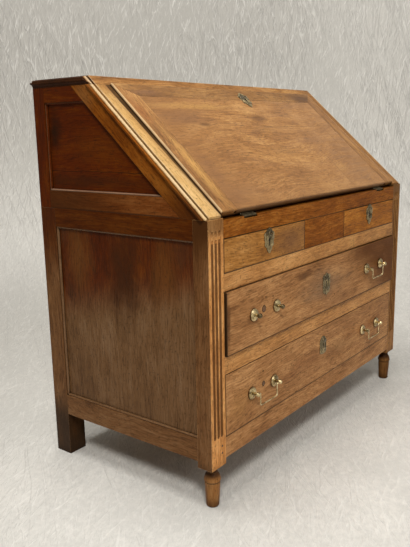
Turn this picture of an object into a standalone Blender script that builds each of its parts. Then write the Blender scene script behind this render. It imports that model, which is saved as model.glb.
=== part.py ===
"""A walnut slant-front desk on turned front feet, in metres, +Z up.

X runs along the front with the left side at -X, the front faces -Y, and the floor is z = 0.
Depths are measured backwards from the case front, and insets inwards from a side's outer face.
"""

import math

import bmesh
import bpy
from mathutils import Matrix, Vector

# Case
CASE_WIDTH = 1.120
CASE_DEPTH = 0.576
UPPER_HEIGHT = 0.335        # seam between the two cases to the top
TOP_DEPTH = 0.204           # top board, from its front arris to the back
OVERHANG = 0.008            # moulded edges past the case sides

# Clearances
GAP = 0.0003                # pieces that touch
DRAWER_SIDE_GAP = 0.0014
DRAWER_TOP_GAP = 0.0020
LID_GAP = 0.0008

# Frame timber
POST_WIDTH = 0.058
FRONT_POST_DEPTH = 0.044
REAR_POST_DEPTH = 0.056
FRAME_THICKNESS = 0.026     # side rails and gable frames
PANEL_THICKNESS = 0.010
PANEL_RECESS = 0.009        # panel face behind the frame face
GROOVE_DEPTH = 0.008
SIDE_RAIL_Z = 0.124         # underside of the side bottom rail
SIDE_BOTTOM_RAIL = 0.059
SIDE_TOP_RAIL = 0.050
SIDE_TENON = 0.018
SIDE_TENON_SET = 0.008
SIDE_TENON_THICKNESS = 0.012
TENON_SHOULDER = 0.007

# Front, stacked from the bottom rail upwards
BOTTOM_RAIL_Z = 0.122
BOTTOM_RAIL = 0.054
LOWER_DRAWER = 0.163
LOWER_DIVIDER = 0.046
UPPER_DRAWER = 0.160
UPPER_DIVIDER = 0.043
SMALL_DRAWER = 0.084
TOP_RAIL = 0.043
TOP_RAIL_SET_DOWN = 0.005   # top rail and writing bed below the top of the posts
RAIL_DEPTH = 0.030
TOP_RAIL_DEPTH = 0.040
FRONT_TENON = 0.022
FRONT_TENON_SET = 0.009
FRONT_TENON_THICKNESS = 0.010
CENTRE_FRONT = 0.240        # fixed front between the small drawers
BOARD_TONGUE = 0.006
BOARD_TONGUE_THICKNESS = 0.006
DUST_BOARD = 0.014
GUIDE_WIDTH = 0.014
GUIDE_HEIGHT = 0.024
BED_THICKNESS = 0.018
BACK_THICKNESS = 0.012
BACK_INSET = 0.014          # back boards in from the rear of the posts
BACK_BOARD_COUNT = 6
BACK_JOINT_WIDTH = 0.0030
BACK_JOINT_DEPTH = 0.0018

# Turned feet and fluted posts
FOOT_HEIGHT = 0.105
FOOT_RADIUS = 0.0212
FOOT_TIP_RADIUS = 0.0164
FOOT_EDGE = 0.003
FOOT_RING = 0.007
FOOT_SHOULDER = 0.017
FOOT_NECK = 0.013
FOOT_NECK_RADIUS = 0.0135
BLOCK_CHAMFER = 0.002
FLUTE_COUNT = 3
FLUTE_SPACING = 0.0140
FLUTE_RADIUS = 0.0055
FLUTE_DEPTH = 0.0042
FLUTE_FROM_BLOCK = 0.078    # block's underside to the flutes
FLUTE_FROM_TOP = 0.046      # top of the post to the flutes
STUB_FLUTE = 0.015
STUB_GAP = 0.005

# Upper case
STRIP_LIP = 0.0015          # cap strip's foot above the seam
CAP_THICKNESS = 0.018
SLANT_WIDTH = 0.054         # cap strip and slanting rail together
STRIP_NOSE = 0.005          # cap strip's end behind the case front
LID_INSET = 0.059           # lid's edge in from the case side
LEDGE_WIDTH = 0.013
LEDGE_THICKNESS = 0.016
ARRIS_INSET = 0.0100        # flat top of a moulded edge ends here, in from the side
QUIRK_DEPTH = 0.0050
BEAD_INSET = 0.0025         # bead's centre in from the side
BEAD_RADIUS = 0.0042
BEAD_SINK = 0.0018          # bead's crest below the flat top
FILLET_SINK = 0.0080        # step under the bead, below the flat top
FILLET = 0.0040
GABLE_BOTTOM_RAIL = 0.047
GABLE_TOP_RAIL = 0.039
GABLE_STILE = 0.042
GABLE_TENON = 0.012
TOP_THICKNESS = 0.022

# Lid
LID_THICKNESS = 0.019
LID_PROUD = 0.007
LID_FOOT = 0.0105           # lid's lower edge up the slope from its foot
LID_ROUND = 0.003
LID_STILE = 0.064
LID_RAIL = 0.048
LID_TONGUE = 0.008
LID_TONGUE_THICKNESS = 0.006

# Hinges
HINGE_LENGTH = 0.056
HINGE_FROM_STILE = 0.022
HINGE_DROP = 0.0015         # axis below the writing bed
KNUCKLE_RADIUS = 0.0040
PIN_RADIUS = 0.0015
LEAF_THICKNESS = 0.0020
LEAF_WIDTH = 0.027
LEAF_CLEARANCE = 0.0006

# Drawers
DRAWER_FRONT = 0.022
DRAWER_WALL = 0.012
DRAWER_BOTTOM = 0.008
DRAWER_BOTTOM_RAISE = 0.006
DRAWER_BACK_SPACE = 0.040   # drawer's rear to the back boards
BOX_DROP = 0.014            # box's top edge below the front's
UPPER_PROUD = 0.007         # upper long drawer left a little open
TAIL_DEPTH = 0.014
TAIL_SLOPE = 0.15
TAIL_MARGIN = 0.010
TAIL_GAP = 0.014            # pin between two tails
LONG_TAIL_COUNT = 3
SMALL_TAIL_COUNT = 2

# Handles
HANDLE_FROM_END = 0.169     # middle of a handle, in from the end of its drawer
HANDLE_SPACING = 0.108
UPPER_HANDLE_Z = 0.079      # above the drawer opening's foot
LOWER_HANDLE_Z = 0.078
ROSETTE_RADIUS = 0.0165
ROSETTE_THICKNESS = 0.0030
ROSETTE_DOME = 0.0085
STEM_RADIUS = 0.0045
HEAD_RADIUS = 0.0068
HEAD_OUT = 0.0185
SHANK_RADIUS = 0.0028
SHANK_TAIL = 0.008          # shank past the inside of the drawer front
BAIL_RADIUS = 0.0019
BAIL_DROP = 0.034
BAIL_BEND = 0.004
BAIL_SEAT = 0.0030          # head's centre to the end of the bail's pin
BAIL_REACH = 0.0135         # head's centre to the bail's arm

# Pigeonholes
PIGEON_WALL = 0.010
PIGEON_PARTITION = 0.008
PIGEON_COUNT = 5
PIGEON_SET_BACK = 0.006     # behind the ledges under the lid
INNER_DRAWER = 0.066
INNER_DRAWER_WALL = 0.008
INNER_DRAWER_GAP = 0.0010

# Values worked out from the sizes above
HALF = CASE_WIDTH / 2
HANDLE_REACH = UPPER_PROUD + HEAD_OUT + HEAD_RADIUS
FRONT_Y = (HANDLE_REACH - CASE_DEPTH) / 2
LOWER_DRAWER_Z = BOTTOM_RAIL_Z + BOTTOM_RAIL
LOWER_DIVIDER_Z = LOWER_DRAWER_Z + LOWER_DRAWER
UPPER_DRAWER_Z = LOWER_DIVIDER_Z + LOWER_DIVIDER
UPPER_DIVIDER_Z = UPPER_DRAWER_Z + UPPER_DRAWER
SMALL_DRAWER_Z = UPPER_DIVIDER_Z + UPPER_DIVIDER
TOP_RAIL_Z = SMALL_DRAWER_Z + SMALL_DRAWER
BED_Z = TOP_RAIL_Z + TOP_RAIL
SEAM_Z = BED_Z + TOP_RAIL_SET_DOWN
HEIGHT = SEAM_Z + UPPER_HEIGHT
TOP_UNDER_Z = HEIGHT - TOP_THICKNESS
BACK_FACE = CASE_DEPTH - BACK_INSET - BACK_THICKNESS
REAR_POST_FACE = CASE_DEPTH - REAR_POST_DEPTH
OPENING = HALF - POST_WIDTH
HANDLE_X = OPENING - HANDLE_FROM_END

# Slope of the lid
SLOPE_RISE = UPPER_HEIGHT - STRIP_LIP
SLOPE_RUN = CASE_DEPTH - TOP_DEPTH
SLOPE = math.atan2(SLOPE_RISE, SLOPE_RUN)
SLOPE_LENGTH = math.hypot(SLOPE_RISE, SLOPE_RUN)
SLOPE_FOOT_Z = SEAM_Z + STRIP_LIP
LID_INNER = LID_PROUD - LID_THICKNESS
LID_TOP = SLOPE_LENGTH - TOP_THICKNESS / math.sin(SLOPE) - LID_GAP
LID_HALF = HALF - LID_INSET
HINGE_Z = BED_Z - HINGE_DROP
HINGE_OUT = LID_INNER + HINGE_DROP
HINGE_ALONG = (HINGE_Z - SLOPE_FOOT_Z - HINGE_OUT * math.cos(SLOPE)) / math.sin(SLOPE)
HINGE_DEPTH = HINGE_ALONG * math.cos(SLOPE) - HINGE_OUT * math.sin(SLOPE)
HINGE_X = LID_HALF - LID_STILE - HINGE_FROM_STILE - HINGE_LENGTH / 2

SIDES = (("left", -1), ("right", 1))

# Front rails as (name, underside, height, depth)
FRONT_RAILS = (
    ("front_bottom_rail", BOTTOM_RAIL_Z, BOTTOM_RAIL, RAIL_DEPTH),
    ("front_lower_divider", LOWER_DIVIDER_Z, LOWER_DIVIDER, RAIL_DEPTH),
    ("front_upper_divider", UPPER_DIVIDER_Z, UPPER_DIVIDER, RAIL_DEPTH),
    ("front_top_rail", TOP_RAIL_Z, TOP_RAIL, TOP_RAIL_DEPTH),
)
# Side rails as (name, underside, height)
SIDE_RAILS = (
    ("side_bottom_rail", SIDE_RAIL_Z, SIDE_BOTTOM_RAIL),
    ("side_top_rail", SEAM_Z - SIDE_TOP_RAIL, SIDE_TOP_RAIL),
)
# Dust boards as (name, rail in front of it, height of its top)
DUST_BOARDS = (
    ("bottom_dust_board", "front_bottom_rail", LOWER_DRAWER_Z),
    ("middle_dust_board", "front_lower_divider", UPPER_DRAWER_Z),
    ("upper_dust_board", "front_upper_divider", SMALL_DRAWER_Z),
)


# Places in the model


def along_x(a, b, t):
    return (t, FRONT_Y + a, b)


def along_z(a, b, t):
    return (a, FRONT_Y + b, t)


def on_slope(x, along, out):
    """A point up the slope from its foot, and out from the plane of the cap strips."""
    depth = along * math.cos(SLOPE) - out * math.sin(SLOPE)
    height = along * math.sin(SLOPE) + out * math.cos(SLOPE)
    return (x, FRONT_Y + depth, SLOPE_FOOT_Z + height)


def slope_depth(z, out):
    """How far behind the case front the plane at this distance from the slope is, at height z."""
    along = (z - SLOPE_FOOT_Z - out * math.cos(SLOPE)) / math.sin(SLOPE)
    return along * math.cos(SLOPE) - out * math.sin(SLOPE)


def side_x(side, inset):
    return side * (HALF - inset)


# Shapes, each a pair of points and faces


def tower(levels):
    """Rectangles (x0, x1, depth0, depth1) at rising heights, joined into one closed shape."""
    points = []
    faces = []
    for z, x0, x1, d0, d1 in levels:
        points += [along_z(x0, d0, z), along_z(x1, d0, z), along_z(x1, d1, z), along_z(x0, d1, z)]
    for level in range(len(levels) - 1):
        for corner in range(4):
            a = 4 * level + corner
            b = 4 * level + (corner + 1) % 4
            faces.append((a, b, b + 4, a + 4))
    last = 4 * (len(levels) - 1)
    faces.append((0, 1, 2, 3))
    faces.append((last, last + 1, last + 2, last + 3))
    return points, faces


def block(x0, x1, d0, d1, z0, z1):
    return tower([(z0, x0, x1, d0, d1), (z1, x0, x1, d0, d1)])


def side_block(side, inset0, inset1, d0, d1, z0, z1):
    ends = sorted((side_x(side, inset0), side_x(side, inset1)))
    return block(ends[0], ends[1], d0, d1, z0, z1)


def prism(outline, place, start, end):
    """An outline of points (a, b) swept from start to end, where place(a, b, t) gives each corner."""
    count = len(outline)
    points = [place(a, b, t) for t in (start, end) for a, b in outline]
    faces = [tuple(range(count)), tuple(range(count, 2 * count))]
    for i in range(count):
        j = (i + 1) % count
        faces.append((i, j, j + count, i + count))
    return points, faces


def turned(profile, centre, axis, segments):
    """A turned solid: profile lists (radius, distance along the axis from the centre)."""
    axis = Vector(axis)
    across = axis.orthogonal().normalized()
    beside = axis.cross(across)
    points = []
    faces = []
    for radius, distance in profile:
        for step in range(segments):
            turn = 2 * math.pi * (step + 0.5) / segments
            spoke = across * math.cos(turn) + beside * math.sin(turn)
            points.append(tuple(Vector(centre) + axis * distance + spoke * radius))
    for ring in range(len(profile) - 1):
        for step in range(segments):
            a = ring * segments + step
            b = ring * segments + (step + 1) % segments
            faces.append((a, b, b + segments, a + segments))
    last = (len(profile) - 1) * segments
    faces.append(tuple(range(segments)))
    faces.append(tuple(range(last, last + segments)))
    return points, faces


def rod(radius, start, end, segments):
    span = Vector(end) - Vector(start)
    return turned([(radius, 0), (radius, span.length)], start, span.normalized(), segments)


# Objects


def link(obj):
    bpy.context.scene.collection.objects.link(obj)
    return obj


def new_object(name, shape):
    mesh = bpy.data.meshes.new(name)
    mesh.from_pydata(shape[0], [], shape[1])
    work = bmesh.new()
    work.from_mesh(mesh)
    bmesh.ops.recalc_face_normals(work, faces=work.faces)
    work.to_mesh(mesh)
    work.free()
    return link(bpy.data.objects.new(name, mesh))


def carve(target, shapes, operation):
    """Joins each shape to the target, or cuts it away, and keeps the result as the target's mesh."""
    for shape in shapes:
        tool = new_object("tool", shape)
        tool.hide_render = True
        modifier = target.modifiers.new("carve", "BOOLEAN")
        modifier.object = tool
        modifier.operation = operation
        modifier.solver = "EXACT"
        graph = bpy.context.evaluated_depsgraph_get()
        result = bpy.data.meshes.new_from_object(target.evaluated_get(graph), depsgraph=graph)
        target.modifiers.clear()
        for used in (target.data, tool.data):
            if used is target.data:
                target.data = result
            else:
                bpy.data.objects.remove(tool)
            bpy.data.meshes.remove(used)


def make_material(name, colour, roughness, metallic=0.0):
    made = bpy.data.materials.new(name)
    made.use_nodes = True
    shader = made.node_tree.nodes["Principled BSDF"]
    shader.inputs["Base Color"].default_value = (*colour, 1.0)
    shader.inputs["Roughness"].default_value = roughness
    shader.inputs["Metallic"].default_value = metallic
    return made


def piece(name, material, base, add=(), cut=(), keep=()):
    """A named object: the base with shapes added and cut away, and only what lies inside those to keep."""
    made = new_object(name, base)
    carve(made, add, "UNION")
    carve(made, cut, "DIFFERENCE")
    carve(made, keep, "INTERSECT")
    made.data.name = name
    made.data.materials.clear()
    made.data.materials.append(material)
    return made


def round_off(obj, angle=40):
    obj.data.shade_smooth()
    obj.data.set_sharp_from_angle(angle=math.radians(angle))


def pivot(name, place):
    empty = bpy.data.objects.new(name, None)
    empty.location = place
    return link(empty)


def hang(obj, empty):
    """Moves the object's origin to the empty that it moves with, and leaves its shape in place."""
    obj.data.transform(Matrix.Translation(-empty.location))
    obj.parent = empty


# Lower case


def front_tenon(z, height, grow):
    """(depth0, depth1, z0, z1) of a front rail's tenon, grown for its mortise."""
    return (
        FRONT_TENON_SET - grow,
        FRONT_TENON_SET + FRONT_TENON_THICKNESS + grow,
        z + TENON_SHOULDER - grow,
        z + height - TENON_SHOULDER + grow,
    )


def side_tenon(z, height, grow):
    """(inset0, inset1, z0, z1) of a side rail's tenon, grown for its mortise."""
    return (
        SIDE_TENON_SET - grow,
        SIDE_TENON_SET + SIDE_TENON_THICKNESS + grow,
        z + TENON_SHOULDER - grow,
        z + height - TENON_SHOULDER + grow,
    )


def side_mortises(side, face, inward):
    """Mortises for the side rails, and the panel's groove, in a post's face at this depth."""
    cuts = []
    for _, z, height in SIDE_RAILS:
        i0, i1, z0, z1 = side_tenon(z, height, GAP)
        depths = sorted((face - inward * GAP, face + inward * (SIDE_TENON + GAP)))
        cuts.append(side_block(side, i0, i1, *depths, z0, z1))
    bottom = SIDE_RAIL_Z + SIDE_BOTTOM_RAIL - GROOVE_DEPTH
    top = SEAM_Z - SIDE_TOP_RAIL + GROOVE_DEPTH
    depths = sorted((face - inward * GAP, face + inward * GROOVE_DEPTH))
    cuts.append(
        side_block(side, PANEL_RECESS - GAP, PANEL_RECESS + PANEL_THICKNESS + GAP, *depths, bottom, top)
    )
    return cuts


def capsule(radius, low, high):
    """Profile of a flute's cutter, rounded at both ends."""
    bend = [(math.sin(a), 1 - math.cos(a)) for a in (math.radians(d) for d in (25, 55, 90))]
    foot = [(radius * r, low + radius * h) for r, h in bend]
    head = [(radius * r, high - radius * h) for r, h in reversed(bend)]
    return foot + head


def foot_profile():
    neck_z = FOOT_HEIGHT - FOOT_NECK
    shoulder_z = neck_z - FOOT_SHOULDER
    ring_z = shoulder_z - FOOT_RING
    middle = (FOOT_NECK_RADIUS + FOOT_RADIUS) / 2
    return [
        (FOOT_TIP_RADIUS - FOOT_EDGE / 2, 0),
        (FOOT_TIP_RADIUS, FOOT_EDGE),
        (FOOT_RADIUS - FOOT_EDGE / 2, ring_z - FOOT_EDGE),
        (FOOT_RADIUS - FOOT_EDGE, ring_z - FOOT_EDGE / 2),
        (FOOT_RADIUS, ring_z + FOOT_RING / 4),
        (FOOT_RADIUS, shoulder_z),
        (middle + FOOT_EDGE / 4, shoulder_z + FOOT_SHOULDER * 0.6),
        (FOOT_NECK_RADIUS, neck_z),
        (FOOT_NECK_RADIUS, neck_z + FOOT_NECK * 0.6),
        (FOOT_NECK_RADIUS + FOOT_EDGE, FOOT_HEIGHT + FOOT_EDGE),
    ]


def front_post(name, side, wood):
    outer = side_x(side, 0)
    inner = side_x(side, POST_WIDTH)
    x0, x1 = sorted((outer, inner))
    block_z = FOOT_HEIGHT + BLOCK_CHAMFER
    base = tower(
        [
            (
                FOOT_HEIGHT,
                x0 + BLOCK_CHAMFER,
                x1 - BLOCK_CHAMFER,
                BLOCK_CHAMFER,
                FRONT_POST_DEPTH - BLOCK_CHAMFER,
            ),
            (block_z, x0, x1, 0, FRONT_POST_DEPTH),
            (SEAM_Z, x0, x1, 0, FRONT_POST_DEPTH),
        ]
    )
    centre_x = side_x(side, POST_WIDTH / 2)
    foot = turned(foot_profile(), along_z(centre_x, FRONT_POST_DEPTH / 2, 0), (0, 0, 1), 24)
    cuts = side_mortises(side, FRONT_POST_DEPTH, -1)
    for _, z, height, _ in FRONT_RAILS:
        d0, d1, z0, z1 = front_tenon(z, height, GAP)
        cuts.append(side_block(side, POST_WIDTH - FRONT_TENON - GAP, POST_WIDTH + GAP, d0, d1, z0, z1))
    flute_low = FOOT_HEIGHT + FLUTE_FROM_BLOCK
    flute_high = SEAM_Z - FLUTE_FROM_TOP
    stub_low = flute_high + STUB_GAP
    for i in range(FLUTE_COUNT):
        x = centre_x + (i - (FLUTE_COUNT - 1) / 2) * FLUTE_SPACING
        line = along_z(x, FLUTE_DEPTH - FLUTE_RADIUS, 0)
        for low, high in ((flute_low, flute_high), (stub_low, stub_low + STUB_FLUTE)):
            cuts.append(turned(capsule(FLUTE_RADIUS, low, high), line, (0, 0, 1), 12))
    made = piece(name, wood, base, [foot], cuts)
    round_off(made)
    return made


def rear_post(name, side, wood):
    base = side_block(side, 0, POST_WIDTH, REAR_POST_FACE, CASE_DEPTH, 0, SEAM_Z)
    cuts = side_mortises(side, REAR_POST_FACE, 1)
    cuts.append(
        side_block(
            side,
            POST_WIDTH - GROOVE_DEPTH,
            POST_WIDTH + GAP,
            BACK_FACE - GAP,
            BACK_FACE + BACK_THICKNESS + GAP,
            SIDE_RAIL_Z - GAP,
            SEAM_Z + GAP,
        )
    )
    return piece(name, wood, base, (), cuts)


def side_rail(name, side, wood, z, height, groove_z):
    front = FRONT_POST_DEPTH + GAP
    back = REAR_POST_FACE - GAP
    base = side_block(side, 0, FRAME_THICKNESS, front, back, z, z + height)
    i0, i1, z0, z1 = side_tenon(z, height, 0)
    tenon = side_block(
        side, i0, i1, FRONT_POST_DEPTH - SIDE_TENON, REAR_POST_FACE + SIDE_TENON, z0, z1
    )
    groove = side_block(
        side,
        PANEL_RECESS - GAP,
        PANEL_RECESS + PANEL_THICKNESS + GAP,
        front - SIDE_TENON - GAP,
        back + SIDE_TENON + GAP,
        groove_z[0],
        groove_z[1],
    )
    return piece(name, wood, base, [tenon], [groove])


def build_side(label, side, woods):
    front_post(f"front_post_{label}", side, woods["case"])
    rear_post(f"rear_post_{label}", side, woods["case"])
    panel_low = SIDE_RAIL_Z + SIDE_BOTTOM_RAIL
    panel_high = SEAM_Z - SIDE_TOP_RAIL
    grooves = ((panel_low - GROOVE_DEPTH, panel_low + GAP), (panel_high - GAP, panel_high + GROOVE_DEPTH))
    for (name, z, height), groove_z in zip(SIDE_RAILS, grooves):
        side_rail(f"{name}_{label}", side, woods["case"], z, height, groove_z)
    tongue = GROOVE_DEPTH - GAP
    panel = side_block(
        side,
        PANEL_RECESS,
        PANEL_RECESS + PANEL_THICKNESS,
        FRONT_POST_DEPTH - tongue,
        REAR_POST_FACE + tongue,
        panel_low - tongue,
        panel_high + tongue,
    )
    piece(f"side_panel_{label}", woods["case"], panel)


def leaf_recess():
    """Cuts in the front top rail for the case leaves, and for the barrels in front of them."""
    cuts = []
    knuckle = KNUCKLE_RADIUS + LEAF_CLEARANCE
    for _, side in SIDES:
        x = side * HINGE_X
        half = HINGE_LENGTH / 2 + LEAF_CLEARANCE
        cuts.append(block(x - half, x + half, -GAP, HINGE_DEPTH + knuckle, HINGE_Z - knuckle, BED_Z + GAP))
        plate_low = BED_Z - LEAF_THICKNESS - GAP
        plate_end = HINGE_DEPTH + LEAF_WIDTH + GAP
        cuts.append(block(x - half, x + half, HINGE_DEPTH, plate_end, plate_low, BED_Z + GAP))
    return cuts


def bed_tongue(grow):
    """(depth1, z0, z1) of the writing bed's tongue into the top rail, which starts at the rail's back."""
    middle = BED_Z - BED_THICKNESS / 2
    half = BOARD_TONGUE_THICKNESS / 2 + grow
    return TOP_RAIL_DEPTH - BOARD_TONGUE - grow, middle - half, middle + half


def dust_tongue(z, grow):
    """(depth1, z0, z1) of a dust board's tongue into the rail in front of it."""
    middle = z - DUST_BOARD / 2
    half = BOARD_TONGUE_THICKNESS / 2 + grow
    return RAIL_DEPTH - BOARD_TONGUE - grow, middle - half, middle + half


def centre_tongue(grow):
    """(x half, depth0, depth1, height past the opening) of the fixed front's tongues."""
    middle = DRAWER_FRONT / 2
    half = BOARD_TONGUE_THICKNESS / 2 + grow
    return CENTRE_FRONT / 2 - GAP + grow, middle - half, middle + half, BOARD_TONGUE + grow


def front_rail(name, z, height, depth, wood):
    end = OPENING - GAP
    base = block(-end, end, 0, depth, z, z + height)
    d0, d1, z0, z1 = front_tenon(z, height, 0)
    tenon = block(-OPENING - FRONT_TENON, OPENING + FRONT_TENON, d0, d1, z0, z1)
    cuts = []
    x_half, c0, c1, reach = centre_tongue(GAP)
    if name == "front_top_rail":
        tongue_depth, t0, t1 = bed_tongue(GAP)
        cuts.append(block(-end, end, tongue_depth, depth + GAP, t0, t1))
        cuts.append(block(-x_half, x_half, c0, c1, z - GAP, z + reach))
        cuts += leaf_recess()
    for _, rail, board_z in DUST_BOARDS:
        if rail == name:
            tongue_depth, t0, t1 = dust_tongue(board_z, GAP)
            cuts.append(block(-end, end, tongue_depth, depth + GAP, t0, t1))
    if name == "front_upper_divider":
        top = z + height
        cuts.append(block(-x_half, x_half, c0, c1, top - reach, top + GAP))
    return piece(name, wood, base, [tenon], cuts)


def board_outline(front):
    """A board between the side rails, notched round the four posts, as (x, depth) points."""
    wide = HALF - FRAME_THICKNESS - GAP
    narrow = OPENING - GAP
    near = FRONT_POST_DEPTH + GAP
    far = REAR_POST_FACE - GAP
    back = BACK_FACE - GAP
    right = [(narrow, front), (narrow, near), (wide, near), (wide, far), (narrow, far), (narrow, back)]
    return right + [(-x, d) for x, d in reversed(right)]


def dust_board(name, z, wood):
    front = RAIL_DEPTH + GAP
    base = prism(board_outline(front), along_z, z - DUST_BOARD, z)
    tongue_depth, t0, t1 = dust_tongue(z, 0)
    narrow = OPENING - GAP
    adds = [block(-narrow, narrow, tongue_depth, front + GAP, t0, t1)]
    if name == "upper_dust_board":
        for _, side in SIDES:
            ends = sorted((side * CENTRE_FRONT / 2, side * (CENTRE_FRONT / 2 - GUIDE_WIDTH)))
            adds.append(block(*ends, front, BACK_FACE - GAP, z - GAP, z + GUIDE_HEIGHT))
    return piece(name, wood, base, adds)


def writing_bed(wood):
    front = TOP_RAIL_DEPTH + GAP
    base = prism(board_outline(front), along_z, BED_Z - BED_THICKNESS, BED_Z)
    tongue_depth, t0, t1 = bed_tongue(0)
    narrow = OPENING - GAP
    return piece("writing_bed", wood, base, [block(-narrow, narrow, tongue_depth, front + GAP, t0, t1)])


def centre_front(wood):
    half = CENTRE_FRONT / 2 - GAP
    base = block(-half, half, 0, DRAWER_FRONT, SMALL_DRAWER_Z + GAP, TOP_RAIL_Z - GAP)
    x_half, d0, d1, reach = centre_tongue(0)
    tongue = block(-x_half, x_half, d0, d1, SMALL_DRAWER_Z - reach, TOP_RAIL_Z + reach)
    return piece("centre_fixed_front", wood, base, [tongue])


def back_panel(wood):
    tongue = GROOVE_DEPTH - GAP
    lower = OPENING + tongue
    upper = HALF - FRAME_THICKNESS + tongue
    step = SEAM_Z + GAP
    top = TOP_UNDER_Z - GAP
    right = [(lower, SIDE_RAIL_Z), (lower, step), (upper, step), (upper, top)]
    outline = right + [(-x, z) for x, z in reversed(right)]

    def place(x, z, depth):
        return (x, FRONT_Y + depth, z)

    face = BACK_FACE + BACK_THICKNESS
    grooves = []
    for joint in range(1, BACK_BOARD_COUNT):
        x = 2 * upper * (joint / BACK_BOARD_COUNT) - upper
        groove = [
            (x - BACK_JOINT_WIDTH / 2, face),
            (x, face - BACK_JOINT_DEPTH),
            (x + BACK_JOINT_WIDTH / 2, face),
            (x + BACK_JOINT_WIDTH / 2, face + BACK_JOINT_DEPTH),
            (x - BACK_JOINT_WIDTH / 2, face + BACK_JOINT_DEPTH),
        ]
        grooves.append(prism(groove, along_z, 0, HEIGHT))
    return piece("back_panel", wood, prism(outline, place, BACK_FACE, face), (), grooves)


# Upper case


def moulded_edge():
    """The top of the moulding as (past the side, below the flat top): a quirk, a bead and a step out."""
    points = [(-ARRIS_INSET, 0), (-ARRIS_INSET, QUIRK_DEPTH), (-BEAD_INSET - BEAD_RADIUS, QUIRK_DEPTH)]
    middle = BEAD_SINK + BEAD_RADIUS
    for degrees in (180, 140, 110, 80, 50, 20, 0):
        turn = math.radians(degrees)
        points.append((-BEAD_INSET + BEAD_RADIUS * math.cos(turn), middle - BEAD_RADIUS * math.sin(turn)))
    return points + [(BEAD_RADIUS - BEAD_INSET, FILLET_SINK), (OVERHANG, FILLET_SINK)]


def moulding():
    """The whole moulding: below its step, a fillet and a cove back to the side."""
    low = FILLET_SINK + FILLET
    cove = (OVERHANG * 0.35, low + (CAP_THICKNESS - low) * 0.35)
    return moulded_edge() + [(OVERHANG, low), cove, (0, CAP_THICKNESS)]


def slant_rail(name, side, wood):
    """The gable's slanting rail with the moulded cap strip on it, and the ledge under the lid's edge."""
    shelf = LID_INNER - GAP
    ledge = LID_INSET + LEDGE_WIDTH
    groove = (PANEL_RECESS - GAP, PANEL_RECESS + PANEL_THICKNESS + GAP)
    outline = [(-past, -below) for past, below in moulding()]
    outline += [
        (0, -SLANT_WIDTH),
        (groove[0], -SLANT_WIDTH),
        (groove[0], -SLANT_WIDTH + GROOVE_DEPTH),
        (groove[1], -SLANT_WIDTH + GROOVE_DEPTH),
        (groove[1], -SLANT_WIDTH),
        (FRAME_THICKNESS, -SLANT_WIDTH),
        (FRAME_THICKNESS, shelf - LEDGE_THICKNESS),
        (ledge, shelf - LEDGE_THICKNESS),
        (ledge, shelf),
        (LID_INSET - LID_GAP, shelf),
        (LID_INSET - LID_GAP, 0),
    ]

    def place(inset, out, along):
        return on_slope(side_x(side, inset), along, out)

    spare = SLANT_WIDTH * 2
    base = prism(outline, place, -spare, SLOPE_LENGTH + spare)
    reach = HALF + spare
    low = block(-reach, reach, -reach, reach, SEAM_Z - spare * 2, SEAM_Z + GAP)
    high = block(-reach, reach, -reach, reach, TOP_UNDER_Z - GAP, HEIGHT + spare * 2)
    nose = block(-reach, reach, -reach, STRIP_NOSE, SEAM_Z - spare, SEAM_Z + spare)
    made = piece(name, wood, base, (), [low, high, nose])
    round_off(made, 50)
    return made


def slant_line(z, into):
    """Depth of the slanting rail's inner edge at height z, moved this far into the rail."""
    return slope_depth(z, -SLANT_WIDTH + into)


def gable_rail(name, side, wood, z0, z1, groove_z):
    """A gable rail between the slanting rail and the rear stile, with a tongue and a tenon."""
    stile = CASE_DEPTH - GABLE_STILE
    full = [
        (slant_line(z0, -GAP), z0),
        (stile - GAP, z0),
        (stile - GAP, z1),
        (slant_line(z1, -GAP), z1),
    ]
    t0 = z0 + TENON_SHOULDER
    t1 = z1 - TENON_SHOULDER
    into = GROOVE_DEPTH - GAP
    core = [
        (slant_line(t0, into), t0),
        (stile + GABLE_TENON, t0),
        (stile + GABLE_TENON, t1),
        (slant_line(t1, into), t1),
    ]
    ends = (side_x(side, 0), side_x(side, FRAME_THICKNESS))
    core_ends = (side_x(side, PANEL_RECESS), side_x(side, PANEL_RECESS + PANEL_THICKNESS))
    groove = side_block(
        side,
        PANEL_RECESS - GAP,
        PANEL_RECESS + PANEL_THICKNESS + GAP,
        0,
        CASE_DEPTH,
        groove_z[0],
        groove_z[1],
    )
    return piece(name, wood, prism(full, along_x, *ends), [prism(core, along_x, *core_ends)], [groove])


def gable_stile(name, side, wood, panel_low, panel_high):
    stile = CASE_DEPTH - GABLE_STILE
    base = side_block(
        side, 0, FRAME_THICKNESS, stile, CASE_DEPTH, SEAM_Z + GAP, TOP_UNDER_Z - GAP
    )
    i0 = PANEL_RECESS - GAP
    i1 = PANEL_RECESS + PANEL_THICKNESS + GAP
    cuts = [
        side_block(
            side, i0, i1, stile - GAP, stile + GROOVE_DEPTH, panel_low - GROOVE_DEPTH, panel_high + GROOVE_DEPTH
        ),
        side_block(
            side,
            FRAME_THICKNESS - GROOVE_DEPTH,
            FRAME_THICKNESS + GAP,
            BACK_FACE - GAP,
            BACK_FACE + BACK_THICKNESS + GAP,
            SEAM_Z,
            TOP_UNDER_Z,
        ),
    ]
    shoulder = TENON_SHOULDER - GAP
    for z0, z1 in ((SEAM_Z + GAP, panel_low), (panel_high, TOP_UNDER_Z - GAP)):
        cuts.append(
            side_block(
                side, i0, i1, stile - GAP, stile + GABLE_TENON + GAP, z0 + shoulder, z1 - shoulder
            )
        )
    return piece(name, wood, base, (), cuts)


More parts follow.
